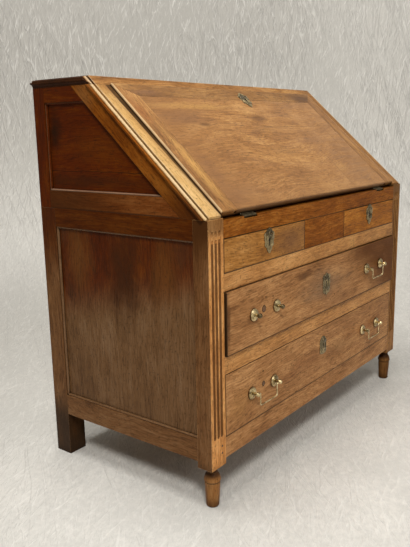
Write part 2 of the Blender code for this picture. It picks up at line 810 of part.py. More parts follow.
def build_gable(label, side, woods):
    wood = woods["case"]
    panel_low = SEAM_Z + GABLE_BOTTOM_RAIL
    panel_high = TOP_UNDER_Z - GABLE_TOP_RAIL
    slant_rail(f"slant_rail_{label}", side, wood)
    gable_stile(f"gable_rear_stile_{label}", side, wood, panel_low, panel_high)
    low_groove = (panel_low - GROOVE_DEPTH, panel_low + GAP)
    high_groove = (panel_high - GAP, panel_high + GROOVE_DEPTH)
    gable_rail(f"gable_bottom_rail_{label}", side, wood, SEAM_Z + GAP, panel_low, low_groove)
    gable_rail(f"gable_top_rail_{label}", side, wood, panel_high, TOP_UNDER_Z - GAP, high_groove)
    tongue = GROOVE_DEPTH - GAP
    low = panel_low - tongue
    high = panel_high + tongue
    back = CASE_DEPTH - GABLE_STILE + tongue
    outline = [(slant_line(low, tongue), low), (back, low), (back, high), (slant_line(high, tongue), high)]
    ends = (side_x(side, PANEL_RECESS), side_x(side, PANEL_RECESS + PANEL_THICKNESS))
    piece(f"gable_panel_{label}", wood, prism(outline, along_x, *ends))


def top_board(wood):
    """The top, moulded at both ends, with its front in the slope and the strips' moulding carried up it."""
    edge = [(HALF + past, HEIGHT - below) for past, below in moulding()] + [(HALF, TOP_UNDER_Z)]
    outline = edge + [(-x, z) for x, z in reversed(edge)]

    def level(x, z, depth):
        return (x, FRONT_Y + depth, z)

    def sloping(x, out, along):
        return on_slope(x, along, out)

    reach = HALF + OVERHANG * 2
    slant = [(HALF + past, -below) for past, below in moulded_edge()]
    slant += [(reach, -FILLET_SINK), (reach, -CASE_DEPTH)]
    front = prism(slant + [(-x, out) for x, out in reversed(slant)], sloping, 0, SLOPE_LENGTH + CASE_DEPTH)
    made = piece("top_board", wood, prism(outline, level, 0, CASE_DEPTH), keep=[front])
    round_off(made, 50)
    return made


# Lid


def lid_shape(outline, low, high):
    return prism(outline, on_slope, low, high)


def lid_block(x0, x1, along0, along1, low, high):
    return lid_shape([(x0, along0), (x1, along0), (x1, along1), (x0, along1)], low, high)


def rounding(a, b, outwards):
    """Outline of what is cut from an arris at (a, b) to round it; outwards is the side of a that is waste."""
    middle = a - outwards * LID_ROUND
    waste = a + outwards * LID_ROUND
    points = [(waste, b + LID_ROUND), (waste, b - LID_ROUND)]
    for degrees in (0, 30, 60, 90):
        turn = math.radians(degrees)
        points.append((middle + outwards * LID_ROUND * math.cos(turn), b - LID_ROUND * (1 - math.sin(turn))))
    return points + [(middle, b + LID_ROUND)]


def lid_roundings():
    """Cuts that round the lid's outer arrises at its foot and both ends."""

    def along_slope(x, out, along):
        return on_slope(x, along, out)

    def across_slope(along, out, x):
        return on_slope(x, along, out)

    spare = LID_THICKNESS
    foot = rounding(LID_FOOT, LID_PROUD, -1)
    cuts = [prism(foot, across_slope, -LID_HALF - spare, LID_HALF + spare)]
    for _, side in SIDES:
        end = rounding(side * LID_HALF, LID_PROUD, side)
        cuts.append(prism(end, along_slope, LID_FOOT - spare, LID_TOP + spare))
    return cuts


def build_lid(axis, wood):
    inner = LID_HALF - LID_STILE
    shoulder = LID_TOP - LID_RAIL
    middle = LID_INNER + LID_THICKNESS / 2
    half = LID_TONGUE_THICKNESS / 2
    groove_low = middle - half - GAP
    groove_high = middle + half + GAP
    spare = LID_THICKNESS
    tip = LID_HALF - LID_ROUND
    tip_foot = LID_TOP - LID_RAIL * (LID_ROUND / LID_STILE)
    pieces = []
    for label, side in SIDES:
        outline = [
            (side * LID_HALF, LID_FOOT),
            (side * inner, LID_FOOT),
            (side * inner, shoulder - GAP),
            (side * (tip + GAP), tip_foot - GAP),
            (side * (tip + GAP), LID_TOP),
            (side * LID_HALF, LID_TOP),
        ]
        ends = sorted((side * (inner - GAP), side * (inner + LID_TONGUE)))
        groove = lid_block(*ends, LID_FOOT - spare, LID_TOP, groove_low, groove_high)
        cuts = [groove] + lid_roundings()
        pieces.append(piece(f"lid_stile_{label}", wood, lid_shape(outline, LID_INNER, LID_PROUD), (), cuts))
    half_rail = [(inner, shoulder), (tip, tip_foot), (tip, LID_TOP)]
    rail = half_rail + [(-x, along) for x, along in reversed(half_rail)]
    groove = lid_block(-LID_HALF, LID_HALF, shoulder - GAP, shoulder + LID_TONGUE, groove_low, groove_high)
    pieces.append(piece("lid_top_rail", wood, lid_shape(rail, LID_INNER, LID_PROUD), (), [groove]))
    x = inner - GAP
    tongue = LID_TONGUE - GAP
    top = shoulder - GAP
    base = lid_block(-x, x, LID_FOOT, top, LID_INNER, LID_PROUD)
    right = [
        (x + tongue, LID_FOOT + LID_TONGUE),
        (x + tongue, top - LID_TONGUE),
        (x - LID_TONGUE, top - LID_TONGUE),
        (x - LID_TONGUE, top + tongue),
    ]
    tongues = right + [(-a, b) for a, b in reversed(right)]
    adds = [lid_shape(tongues, middle - half, middle + half)]
    cuts = lid_roundings()
    for _, side in SIDES:
        centre = side * HINGE_X
        reach = HINGE_LENGTH / 2 + LEAF_CLEARANCE
        plate_end = HINGE_ALONG + LEAF_WIDTH + GAP
        deep = LID_INNER + LEAF_THICKNESS + GAP
        cuts.append(
            lid_block(centre - reach, centre + reach, LID_FOOT - spare, plate_end, LID_INNER - spare, deep)
        )
    pieces.append(piece("lid_panel", wood, base, adds, cuts))
    for part in pieces:
        round_off(part)
        hang(part, axis)


# Hinges


def knuckle(x0, x1, radius):
    place = along_x(HINGE_DEPTH, HINGE_Z, 0)[1:]
    return rod(radius, (x0, *place), (x1, *place), 16)


def build_hinge(label, side, axis, brass):
    left = side * HINGE_X - HINGE_LENGTH / 2
    third = HINGE_LENGTH / 3
    right = left + HINGE_LENGTH
    clear = KNUCKLE_RADIUS + LEAF_CLEARANCE
    outer = ((left, left + third - GAP), (right - third + GAP, right))
    outline = [
        (right, HINGE_DEPTH + LEAF_WIDTH),
        (left, HINGE_DEPTH + LEAF_WIDTH),
        (left, HINGE_DEPTH),
        (outer[0][1], HINGE_DEPTH),
        (outer[0][1], HINGE_DEPTH + clear),
        (outer[1][0], HINGE_DEPTH + clear),
        (outer[1][0], HINGE_DEPTH),
        (right, HINGE_DEPTH),
    ]
    plate = prism(outline, along_z, BED_Z - LEAF_THICKNESS, BED_Z)
    adds = [knuckle(x0, x1, KNUCKLE_RADIUS) for x0, x1 in outer]
    adds.append(knuckle(left + GAP, right - GAP, PIN_RADIUS))
    case_leaf = piece(f"hinge_case_leaf_{label}", brass, plate, adds)

    mid = (left + third + GAP, right - third - GAP)
    outline = [
        (right, HINGE_ALONG + LEAF_WIDTH),
        (left, HINGE_ALONG + LEAF_WIDTH),
        (left, HINGE_ALONG + clear),
        (mid[0], HINGE_ALONG + clear),
        (mid[0], HINGE_ALONG),
        (mid[1], HINGE_ALONG),
        (mid[1], HINGE_ALONG + clear),
        (right, HINGE_ALONG + clear),
    ]
    plate = lid_shape(outline, LID_INNER, LID_INNER + LEAF_THICKNESS)
    adds = [knuckle(*mid, KNUCKLE_RADIUS)]
    bore = knuckle(left, right, PIN_RADIUS + GAP)
    lid_leaf = piece(f"hinge_lid_leaf_{label}", brass, plate, adds, [bore])
    hang(lid_leaf, axis)
    for leaf in (case_leaf, lid_leaf):
        round_off(leaf, 50)


# Drawers


def tail_heights(low, high, count):
    """(foot, head) of each dovetail down a drawer's side."""
    span = (high - low - 2 * TAIL_MARGIN - (count - 1) * TAIL_GAP) / count
    step = span + TAIL_GAP
    first = low + TAIL_MARGIN
    return [(first + i * step, first + i * step + span) for i in range(count)]


def tail_shape(x0, x1, shoulder, foot, head, grow):
    """One dovetail, wider at its end, grown for its socket."""
    end = shoulder - TAIL_DEPTH - grow
    root = shoulder + DRAWER_WALL / 4
    narrow = TAIL_DEPTH * TAIL_SLOPE
    outline = [
        (end, foot - grow),
        (shoulder, foot + narrow - grow),
        (root, foot + narrow - grow),
        (root, head - narrow + grow),
        (shoulder, head - narrow + grow),
        (end, head + grow),
    ]
    return prism(outline, along_x, x0, x1)


def build_drawer(name, x0, x1, z0, opening, proud, tails, handle_xs, handle_z, woods):
    """A drawer's front and its dovetailed box; returns the empty that both move with."""
    left = x0 + DRAWER_SIDE_GAP
    right = x1 - DRAWER_SIDE_GAP
    low = z0 + GAP
    high = z0 + opening - DRAWER_TOP_GAP
    face = -proud
    shoulder = face + DRAWER_FRONT
    rear = BACK_FACE - DRAWER_BACK_SPACE - proud
    box_high = high - BOX_DROP
    floor = low + DRAWER_BOTTOM_RAISE
    in_left = left + DRAWER_WALL
    in_right = right - DRAWER_WALL
    in_rear = rear - DRAWER_WALL

    box = block(left, right, shoulder + GAP, rear, low, box_high)
    adds = []
    sockets = []
    walls = ((left, in_left), (in_right, right))
    for wall in walls:
        for foot, head in tail_heights(low, box_high, tails):
            adds.append(tail_shape(*wall, shoulder, foot, head, 0))
            sockets.append(tail_shape(wall[0] - GAP, wall[1] + GAP, shoulder, foot, head, GAP))
    tongue = BOARD_TONGUE
    adds.append(
        block(in_left, in_right, shoulder - tongue, in_rear, floor, floor + DRAWER_BOTTOM)
    )
    cuts = [
        block(in_left, in_right, shoulder - GAP, in_rear, floor + DRAWER_BOTTOM, high),
        block(in_left, in_right, shoulder - GAP, rear + GAP, low - GAP, floor),
    ]
    body = new_object(f"{name}_box", box)
    carve(body, cuts, "DIFFERENCE")
    carve(body, adds, "UNION")
    body.data.materials.clear()
    body.data.materials.append(woods["inner"])

    sockets.append(
        block(
            in_left - GAP,
            in_right + GAP,
            shoulder - tongue - GAP,
            shoulder + GAP,
            floor - GAP,
            floor + DRAWER_BOTTOM + GAP,
        )
    )
    for x in handle_xs:
        start = (x, FRONT_Y + face - GAP, handle_z)
        end = (x, FRONT_Y + shoulder + GAP, handle_z)
        sockets.append(rod(SHANK_RADIUS + GAP, start, end, 12))
    front = piece(f"{name}_front", woods["front"], block(left, right, face, shoulder, low, high), (), sockets)

    axis = pivot(f"{name}_slide", ((x0 + x1) / 2, FRONT_Y + face, (low + high) / 2))
    for part in (front, body):
        hang(part, axis)
    return axis


# Handles


def handle_post(name, x, z, face, inner_side, axis, brass):
    """A turned post on the drawer's face, with a blind hole for the bail's pin if it has one."""
    head_foot = HEAD_OUT - HEAD_RADIUS
    profile = [
        (SHANK_RADIUS, -DRAWER_FRONT - SHANK_TAIL),
        (SHANK_RADIUS, GAP),
        (ROSETTE_RADIUS, GAP),
        (ROSETTE_RADIUS, ROSETTE_THICKNESS),
    ]
    for degrees in (32, 57):
        turn = math.radians(degrees)
        rise = (ROSETTE_DOME - ROSETTE_THICKNESS) * math.sin(turn)
        profile.append((ROSETTE_RADIUS * math.cos(turn), ROSETTE_THICKNESS + rise))
    profile.append((STEM_RADIUS, ROSETTE_DOME))
    profile.append((STEM_RADIUS, head_foot + HEAD_RADIUS * 0.25))
    for degrees in (40, 90, 130, 160):
        turn = math.radians(degrees)
        profile.append((HEAD_RADIUS * math.sin(turn), HEAD_OUT - HEAD_RADIUS * math.cos(turn)))
    centre = (x, FRONT_Y + face, z)
    base = turned(profile, centre, (0, -1, 0), 16)
    cuts = []
    if inner_side:
        head = Vector((x, FRONT_Y + face - HEAD_OUT, z))
        away = Vector((inner_side, 0, 0))
        start = head + away * (BAIL_SEAT - GAP)
        cuts.append(rod(BAIL_RADIUS + GAP, start, head + away * HEAD_RADIUS * 2, 12))
    made = piece(name, brass, base, (), cuts)
    round_off(made)
    hang(made, axis)


def bail_path(half):
    """The bail's centre line about its pins: pins outwards, arms down, and a straight grip."""
    arm = half - BAIL_REACH
    right = [(half - BAIL_SEAT, 0.0)]
    bends = (
        (arm + BAIL_BEND, -BAIL_BEND, 90, 180),
        (arm - BAIL_BEND, -BAIL_DROP + BAIL_BEND, 0, -90),
    )
    for centre_x, centre_z, first, last in bends:
        for i in range(4):
            turn = math.radians(first + (last - first) * i / 3)
            right.append((centre_x + BAIL_BEND * math.cos(turn), centre_z + BAIL_BEND * math.sin(turn)))
    return right + [(-x, z) for x, z in reversed(right)]


def bail(name, x, z, face, brass):
    axis = pivot(f"{name}_pin", (x, FRONT_Y + face - HEAD_OUT, z))
    curve = bpy.data.curves.new(name, "CURVE")
    curve.dimensions = "3D"
    curve.bevel_depth = BAIL_RADIUS
    curve.bevel_resolution = 2
    curve.use_fill_caps = True
    path = bail_path(HANDLE_SPACING / 2)
    line = curve.splines.new("POLY")
    line.points.add(len(path) - 1)
    for point, (across, up) in zip(line.points, path):
        point.co = (across, 0, up, 1)
    curve.materials.append(brass)
    made = link(bpy.data.objects.new(name, curve))
    made.parent = axis
    return axis


def build_handles(drawer, face, z, hung, slide, brass):
    """The posts of a long drawer's two handles, and the bails that still hang on them."""
    half = HANDLE_SPACING / 2
    for label, side in SIDES:
        centre = side * HANDLE_X
        has_bail = label in hung
        for end, inner_side in (("a", 1), ("b", -1)):
            x = centre - inner_side * half
            name = f"{drawer}_handle_post_{label}_{end}"
            handle_post(name, x, z, face, inner_side if has_bail else 0, slide, brass)
        if has_bail:
            pin = bail(f"{drawer}_bail_{label}", centre, z, face, brass)
            pin.parent = slide
            pin.location -= slide.location


def build_drawers(woods, brass):
    half = HANDLE_SPACING / 2
    handle_xs = [s * HANDLE_X + e * half for _, s in SIDES for e in (-1, 1)]
    upper_z = UPPER_DRAWER_Z + UPPER_HANDLE_Z
    lower_z = LOWER_DRAWER_Z + LOWER_HANDLE_Z
    long_drawers = (
        ("lower_drawer", LOWER_DRAWER_Z, LOWER_DRAWER, 0, lower_z, ("left", "right")),
        ("upper_drawer", UPPER_DRAWER_Z, UPPER_DRAWER, UPPER_PROUD, upper_z, ("right",)),
    )
    for name, z, opening, proud, handle_z, hung in long_drawers:
        slide = build_drawer(
            name, -OPENING, OPENING, z, opening, proud, LONG_TAIL_COUNT, handle_xs, handle_z, woods
        )
        build_handles(name, -proud, handle_z, hung, slide, brass)
    for label, side in SIDES:
        x0, x1 = sorted((side * OPENING, side * CENTRE_FRONT / 2))
        build_drawer(
            f"small_drawer_{label}", x0, x1, SMALL_DRAWER_Z, SMALL_DRAWER, 0, SMALL_TAIL_COUNT, (), 0, woods
        )


# Pigeonholes


def build_pigeonholes(wood):
    front = slope_depth(TOP_UNDER_Z, LID_INNER - GAP - LEDGE_THICKNESS) + PIGEON_SET_BACK
    rear = BACK_FACE - GAP
    half = HALF - FRAME_THICKNESS - GAP
    low = SEAM_Z + GAP
    high = TOP_UNDER_Z - GAP
    floor = low + PIGEON_WALL
    shelf = floor + INNER_DRAWER
    plinth = block(-OPENING + GAP, OPENING - GAP, front, rear, BED_Z + GAP, floor - GAP)
    inside = 2 * (half - PIGEON_WALL)
    width = (inside - (PIGEON_COUNT - 1) * PIGEON_PARTITION) / PIGEON_COUNT
    inner_rear = rear - PIGEON_WALL
    cuts = []
    bays = []
    for i in range(PIGEON_COUNT):
        x0 = -half + PIGEON_WALL + i * (width + PIGEON_PARTITION)
        bays.append((x0, x0 + width))
        for z0, z1 in ((floor, shelf), (shelf + PIGEON_PARTITION, high - PIGEON_WALL)):
            cuts.append(block(x0, x0 + width, front - GAP, inner_rear, z0, z1))
    piece("pigeonhole_case", wood, block(-half, half, front, rear, low, high), [plinth], cuts)

    x0, x1 = bays[PIGEON_COUNT // 2]
    left = x0 + INNER_DRAWER_GAP
    right = x1 - INNER_DRAWER_GAP
    top = shelf - INNER_DRAWER_GAP
    end = inner_rear - INNER_DRAWER_GAP
    wall = INNER_DRAWER_WALL
    base = block(left, right, front, end, floor + GAP, top)
    hollow = block(left + wall, right - wall, front + 2 * wall, end - wall, floor + GAP + wall, top + wall)
    made = piece("inner_drawer", wood, base, (), [hollow])
    hang(made, pivot("inner_drawer_slide", ((x0 + x1) / 2, FRONT_Y + front, (floor + shelf) / 2)))


def main():
    for old in list(bpy.data.objects):
        bpy.data.objects.remove(old, do_unlink=True)
    woods = {
        "case": make_material("walnut_case", (0.130, 0.058, 0.026), 0.42),
        "front": make_material("walnut_front", (0.230, 0.108, 0.042), 0.45),
        "lid": make_material("walnut_lid", (0.260, 0.135, 0.060), 0.42),
        "inner": make_material("plain_oak", (0.330, 0.210, 0.110), 0.65),
    }
    brass = make_material("aged_brass", (0.440, 0.330, 0.150), 0.35, 1.0)
    for label, side in SIDES:
        build_side(label, side, woods)
        build_gable(label, side, woods)
    for name, z, height, depth in FRONT_RAILS:
        front_rail(name, z, height, depth, woods["front"])
    for name, _, z in DUST_BOARDS:
        dust_board(name, z, woods["inner"])
    writing_bed(woods["lid"])
    centre_front(woods["front"])
    back_panel(woods["inner"])
    top_board(woods["lid"])
    lid_axis = pivot("lid_hinge_axis", along_x(HINGE_DEPTH, HINGE_Z, 0))
    build_lid(lid_axis, woods["lid"])
    for label, side in SIDES:
        build_hinge(label, side, lid_axis, brass)
    build_drawers(woods, brass)
    build_pigeonholes(woods["inner"])


main()
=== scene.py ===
"""Looks of a walnut slant-front desk: woods, brass, small hardware, cloth backdrop, light and camera."""

import math

import bmesh
import bpy
from mathutils import Matrix, Vector


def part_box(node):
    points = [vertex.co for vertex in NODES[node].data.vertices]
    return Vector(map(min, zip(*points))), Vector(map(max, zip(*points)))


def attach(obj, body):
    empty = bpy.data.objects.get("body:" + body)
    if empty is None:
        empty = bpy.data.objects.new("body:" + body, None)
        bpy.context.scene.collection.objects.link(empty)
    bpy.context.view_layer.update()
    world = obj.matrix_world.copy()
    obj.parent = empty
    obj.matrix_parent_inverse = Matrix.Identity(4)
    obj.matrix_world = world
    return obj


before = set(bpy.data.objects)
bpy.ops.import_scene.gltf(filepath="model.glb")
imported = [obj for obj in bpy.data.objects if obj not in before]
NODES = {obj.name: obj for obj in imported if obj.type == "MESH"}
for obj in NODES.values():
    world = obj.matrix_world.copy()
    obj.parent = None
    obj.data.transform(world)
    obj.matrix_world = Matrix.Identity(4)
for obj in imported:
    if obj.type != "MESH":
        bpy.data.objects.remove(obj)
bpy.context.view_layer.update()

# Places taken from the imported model, in metres

X = Vector((1, 0, 0))
Y = Vector((0, 1, 0))
Z = Vector((0, 0, 1))
FRONT_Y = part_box("front_post_left")[0].y
BED_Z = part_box("writing_bed")[1].z
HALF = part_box("front_post_right")[1].x
SLOPE_RISE = 0.3335         # from the slope's foot up to the top
SLOPE_RUN = 0.372
SLOPE_FOOT_Z = 0.7215
SLOPE = math.atan2(SLOPE_RISE, SLOPE_RUN)
SLOPE_FOOT = Vector((0, FRONT_Y, SLOPE_FOOT_Z))
UP_SLOPE = Vector((0, math.cos(SLOPE), math.sin(SLOPE)))
OFF_SLOPE = Vector((0, -math.sin(SLOPE), math.cos(SLOPE)))
LID_OUT = 0.007             # lid's face off the slope
LID_IN = -0.012             # lid's inner face off the slope
SLANT_WIDTH = 0.054         # slanting rail, square to the slope
PANEL_RECESS = 0.009
HANDLE_X = 0.333
HANDLE_SPACING = 0.108
HANDLE_Z = {"upper": 0.464, "lower": 0.254}
SIDES = (("left", -1), ("right", 1))


def on_slope(x, along, out):
    return SLOPE_FOOT + X * x + UP_SLOPE * along + OFF_SLOPE * out


def facing(origin, right, up):
    """Matrix from a shape drawn in (right, up, off the surface) to its place."""
    off = right.cross(up)
    columns = (right, up, off, Vector(origin))
    rows = [[column[row] for column in columns] for row in range(3)]
    return Matrix(rows + [[0, 0, 0, 1]])


# Shapes: each is a list of points and a list of faces


def joined(shapes):
    points = []
    faces = []
    for shape_points, shape_faces in shapes:
        start = len(points)
        points += [Vector(p) for p in shape_points]
        faces += [tuple(start + i for i in face) for face in shape_faces]
    return points, faces


def placed(shape, matrix):
    points, faces = shape
    return [matrix @ Vector(p) for p in points], faces


def moved(shape, x, y, z=0.0):
    return placed(shape, Matrix.Translation((x, y, z)))


def loops_shape(loops, closed=True):
    """Rings of as many points each, bridged one to the next; closed adds a face at both ends."""
    size = len(loops[0])
    points = [p for loop in loops for p in loop]
    faces = []
    for level in range(len(loops) - 1):
        for i in range(size):
            a = level * size + i
            b = level * size + (i + 1) % size
            faces.append((a, b, b + size, a + size))
    if closed:
        faces.append(tuple(reversed(range(size))))
        faces.append(tuple(range((len(loops) - 1) * size, len(loops) * size)))
    return points, faces


def circle(radius, count, z=0.0, turn=0.0):
    angles = [turn + 2 * math.pi * i / count for i in range(count)]
    return [(radius * math.cos(t), radius * math.sin(t), z) for t in angles]


def lathe(profile, count=20):
    """A turned shape from (radius, height) points, foot first; every radius is above zero."""
    return loops_shape([circle(radius, count, height) for radius, height in profile])


def tapered_box(width, height, depth, chamfer):
    """A flat box standing off the surface, chamfered round its face."""

    def corners(inset, z):
        x = width / 2 - inset
        y = height / 2 - inset
        return [(-x, -y, z), (x, -y, z), (x, y, z), (-x, y, z)]

    return loops_shape([corners(0, 0), corners(0, depth - chamfer), corners(chamfer, depth)])


def ring(outer, inner, height, chamfer, sides, segments=24):
    """A washer or nut: sides is the number of its outer corners, and its hole is round."""

    def outside(radius, z):
        reach = radius * math.cos(math.pi / sides)
        points = []
        for i in range(segments):
            t = 2 * math.pi * i / segments
            away = (t + math.pi / sides) % (2 * math.pi / sides) - math.pi / sides
            r = reach / math.cos(away)
            points.append((r * math.cos(t), r * math.sin(t), z))
        return points

    loops = [
        circle(inner, segments, 0),
        outside(outer, 0),
        outside(outer, height - chamfer),
        outside(outer - chamfer, height),
        circle(inner, segments, height),
    ]
    return loops_shape(loops + [loops[0]], closed=False)


def half_disc(radius, slot, low, high, side):
    """One half of a slotted screw's head."""
    start = math.asin(slot / radius)
    angles = [start + (math.pi - 2 * start) * i / 10 for i in range(11)]
    flat = [(radius * math.cos(t), side * radius * math.sin(t)) for t in angles]
    if side < 0:
        flat.reverse()
    return loops_shape([[(x, y, low) for x, y in flat], [(x, y, high) for x, y in flat]])


def screw_head(radius, turn):
    slot = radius * 0.16
    halves = [half_disc(radius, slot, 0.00012, 0.0005, side) for side in (1, -1)]
    shape = joined([lathe([(radius, 0), (radius, 0.00012)], 20)] + halves)
    return placed(shape, Matrix.Rotation(turn, 4, "Z"))


def pierced_plate(outline, holes, thickness, edge=0.0002):
    """A flat plate with holes, its arrises softened, from closed outlines in (right, up)."""
    curve = bpy.data.curves.new("plate", "CURVE")
    curve.dimensions = "2D"
    curve.fill_mode = "BOTH"
    curve.extrude = thickness / 2 - edge
    curve.bevel_depth = edge
    curve.bevel_resolution = 1
    for loop in [outline] + list(holes):
        spline = curve.splines.new("POLY")
        spline.points.add(len(loop) - 1)
        for point, (x, y) in zip(spline.points, loop):
            point.co = (x, y, 0, 1)
        spline.use_cyclic_u = True
    drawn = bpy.data.objects.new("plate", curve)
    bpy.context.scene.collection.objects.link(drawn)
    graph = bpy.context.evaluated_depsgraph_get()
    mesh = bpy.data.meshes.new_from_object(drawn.evaluated_get(graph))
    points = [v.co + Vector((0, 0, thickness / 2)) for v in mesh.vertices]
    faces = [tuple(p.vertices) for p in mesh.polygons]
    bpy.data.objects.remove(drawn)
    bpy.data.curves.remove(curve)
    bpy.data.meshes.remove(mesh)
    return points, faces


def swept(corners, profile, place):
    """A mitred moulding inside closed corners (a, b); profile is (inwards, height)."""
    count = len(corners)
    inward = []
    for i in range(count):
        edge = Vector(corners[(i + 1) % count]) - Vector(corners[i])
        inward.append(Vector((-edge.y, edge.x)).normalized())
    loops = []
    for i in range(count):
        before = inward[i - 1]
        after = inward[i]
        mitre = (before + after) / (1 + before.dot(after))
        corner = Vector(corners[i])
        loops.append([place(*(corner + mitre * inwards), height) for inwards, height in profile])
    return loops_shape(loops + [loops[0]], closed=False)


def piece(name, shapes, material, body, angle=35):
    """A named object made of shapes, welded, smoothed below an angle, riding on a body."""
    points, faces = joined(shapes)
    mesh = bpy.data.meshes.new(name)
    mesh.from_pydata(points, [], faces)
    work = bmesh.new()
    work.from_mesh(mesh)
    bmesh.ops.remove_doubles(work, verts=work.verts, dist=1e-6)
    bmesh.ops.recalc_face_normals(work, faces=work.faces)
    work.to_mesh(mesh)
    work.free()
    mesh.shade_smooth()
    mesh.set_sharp_from_angle(angle=math.radians(angle))
    mesh.materials.append(material)
    made = bpy.data.objects.new(name, mesh)
    bpy.context.scene.collection.objects.link(made)
    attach(made, body)
    return made


# Materials


class Shader:
    """One material and short ways to add nodes to it."""

    def __init__(self, name):
        self.material = bpy.data.materials.new(name)
        self.material.use_nodes = True
        self.tree = self.material.node_tree
        self.surface = self.tree.nodes["Principled BSDF"]

    def node(self, kind, inputs, **settings):
        made = self.tree.nodes.new("ShaderNode" + kind)
        for key, value in settings.items():
            setattr(made, key, value)
        for key, value in inputs.items():
            if isinstance(value, bpy.types.NodeSocket):
                self.tree.links.new(value, made.inputs[key])
            else:
                made.inputs[key].default_value = value
        return made

    def value(self, operation, a, b=0.0):
        return self.node("Math", {0: a, 1: b}, operation=operation).outputs[0]

    def plus(self, a, b):
        return self.value("ADD", a, b)

    def times(self, a, b):
        return self.value("MULTIPLY", a, b)

    def vector(self, operation, a, b):
        made = self.node("VectorMath", {0: a, 1: b}, operation=operation)
        single = operation in ("DOT_PRODUCT", "LENGTH", "DISTANCE")
        return made.outputs["Value" if single else "Vector"]

    def remap(self, value, low, high, to_low=0.0, to_high=1.0):
        names = {"Value": value, "From Min": low, "From Max": high, "To Min": to_low, "To Max": to_high}
        return self.node("MapRange", names, interpolation_type="SMOOTHSTEP").outputs[0]

    def between(self, where, direction, start, end, strength=1.0):
        """From 0 to strength, between two places along a direction."""
        return self.remap(self.vector("DOT_PRODUCT", where, direction), start, end, 0.0, strength)

    def mix(self, factor, a, b):
        return self.node("Mix", {0: factor, 6: a, 7: b}, data_type="RGBA").outputs[2]

    def noise(self, place, scale=1.0, detail=3.0, roughness=0.5, distortion=0.0):
        inputs = {"Vector": place, "Scale": scale, "Detail": detail, "Roughness": roughness}
        return self.node("TexNoise", {**inputs, "Distortion": distortion}).outputs[0]

    def object_place(self):
        return self.node("TexCoord", {}).outputs["Object"]

    def edges(self, radius):
        """(normal softened at edges, how close to an edge from 0 to 1)."""
        soft = self.node("Bevel", {"Radius": radius}, samples=4).outputs[0]
        true = self.node("NewGeometry", {}).outputs["True Normal"]
        return soft, self.remap(self.vector("DOT_PRODUCT", soft, true), 0.995, 0.80)

    def crevices(self, distance, clean=0.85, full=0.25):
        """How enclosed the surface is, from 0 at the openness clean to 1 at the openness full."""
        shade = self.node("AmbientOcclusion", {"Distance": distance}, samples=6).outputs["AO"]
        return self.remap(shade, clean, full)

    def bump(self, height, strength, distance, normal=None):
        inputs = {"Height": height, "Strength": strength, "Distance": distance}
        if normal is not None:
            inputs["Normal"] = normal
        return self.node("Bump", inputs).outputs[0]

    def finish(self, values):
        for key, value in values.items():
            if isinstance(value, bpy.types.NodeSocket):
                self.tree.links.new(value, self.surface.inputs[key])
            else:
                self.surface.inputs[key].default_value = value
        return self.material


def tone(red, green, blue):
    return (red, green, blue, 1.0)


# Woods as dark, middle and light tones, roughness, strength of the figure and shine of the wax
LOOKS = {
    "side": ((0.030, 0.0048, 0.0002), (0.094, 0.016, 0.0005), (0.166, 0.044, 0.0020), 0.30, 0.7, 0.10),
    # side_floor_reflection: the side's wood made lighter and greyer, a painted reflection of the floor on
    # the lower part of the sides
    "side_floor_reflection": ((0.067, 0.028, 0.0089), (0.155, 0.074, 0.027), (0.223, 0.125, 0.061), 0.30, 0.7, 0.22),
    "gable": ((0.031, 0.0043, 0.0001), (0.085, 0.013, 0.0002), (0.147, 0.037, 0.0010), 0.42, 0.7, 0.06),
    "rail": ((0.029, 0.0050, 0.0002), (0.072, 0.015, 0.0005), (0.135, 0.039, 0.0032), 0.42, 0.7, 0.06),
    "sill": ((0.053, 0.0118, 0.0014), (0.146, 0.040, 0.0068), (0.228, 0.081, 0.0200), 0.40, 0.7, 0.04),
    "slant": ((0.088, 0.018, 0.0007), (0.215, 0.060, 0.0050), (0.315, 0.115, 0.016), 0.42, 0.7, 0.05),
    "frame": ((0.061, 0.021, 0.0053), (0.171, 0.074, 0.024), (0.263, 0.137, 0.060), 0.36, 0.8, 0.08),
    "post": ((0.220, 0.073, 0.014), (0.632, 0.272, 0.077), (0.923, 0.510, 0.196), 0.40, 0.8, 0.08),
    "front": ((0.137, 0.042, 0.0053), (0.382, 0.158, 0.030), (0.647, 0.319, 0.092), 0.40, 0.65, 0.12),
    "brown": ((0.131, 0.047, 0.013), (0.387, 0.180, 0.066), (0.651, 0.349, 0.143), 0.38, 0.70, 0.04),
    "far_post": ((0.110, 0.038, 0.0088), (0.326, 0.146, 0.043), (0.547, 0.281, 0.095), 0.38, 0.70, 0.04),
    "divider": ((0.202, 0.075, 0.017), (0.505, 0.230, 0.068), (0.737, 0.399, 0.149), 0.38, 0.70, 0.10),
    "amber": ((0.111, 0.030, 0.0026), (0.371, 0.123, 0.011), (0.654, 0.284, 0.054), 0.40, 0.70, 0.08),
    "lid_rail": ((0.107, 0.038, 0.0085), (0.247, 0.111, 0.031), (0.416, 0.215, 0.070), 0.42, 0.90, 0.22),
    "red": ((0.074, 0.017, 0.0007), (0.241, 0.069, 0.0056), (0.458, 0.177, 0.028), 0.40, 0.70, 0.06),
    "lid": ((0.122, 0.044, 0.010), (0.332, 0.150, 0.044), (0.566, 0.306, 0.109), 0.42, 0.85, 0.22),
    "strip": ((0.330, 0.160, 0.046), (0.540, 0.320, 0.115), (0.700, 0.460, 0.200), 0.42, 0.8, 0.30),
    "top": ((0.015, 0.0039, 0.0008), (0.042, 0.012, 0.0026), (0.078, 0.027, 0.0075), 0.45, 0.9, 0.08),
    "oak": ((0.150, 0.075, 0.028), (0.310, 0.185, 0.082), (0.440, 0.295, 0.150), 0.62, 0.8, 0.30),
    "back": ((0.110, 0.056, 0.023), (0.240, 0.140, 0.064), (0.350, 0.230, 0.120), 0.70, 0.9, 0.30),
}
# Near-black brown of pores, specks, cracks and dirt, also laid on as painted shade where the surface is
# enclosed
DIRT_AND_SHADE = tone(0.016, 0.007, 0.002)
SPREAD = (0.618, 0.414, 0.732)      # steps that scatter the seeds
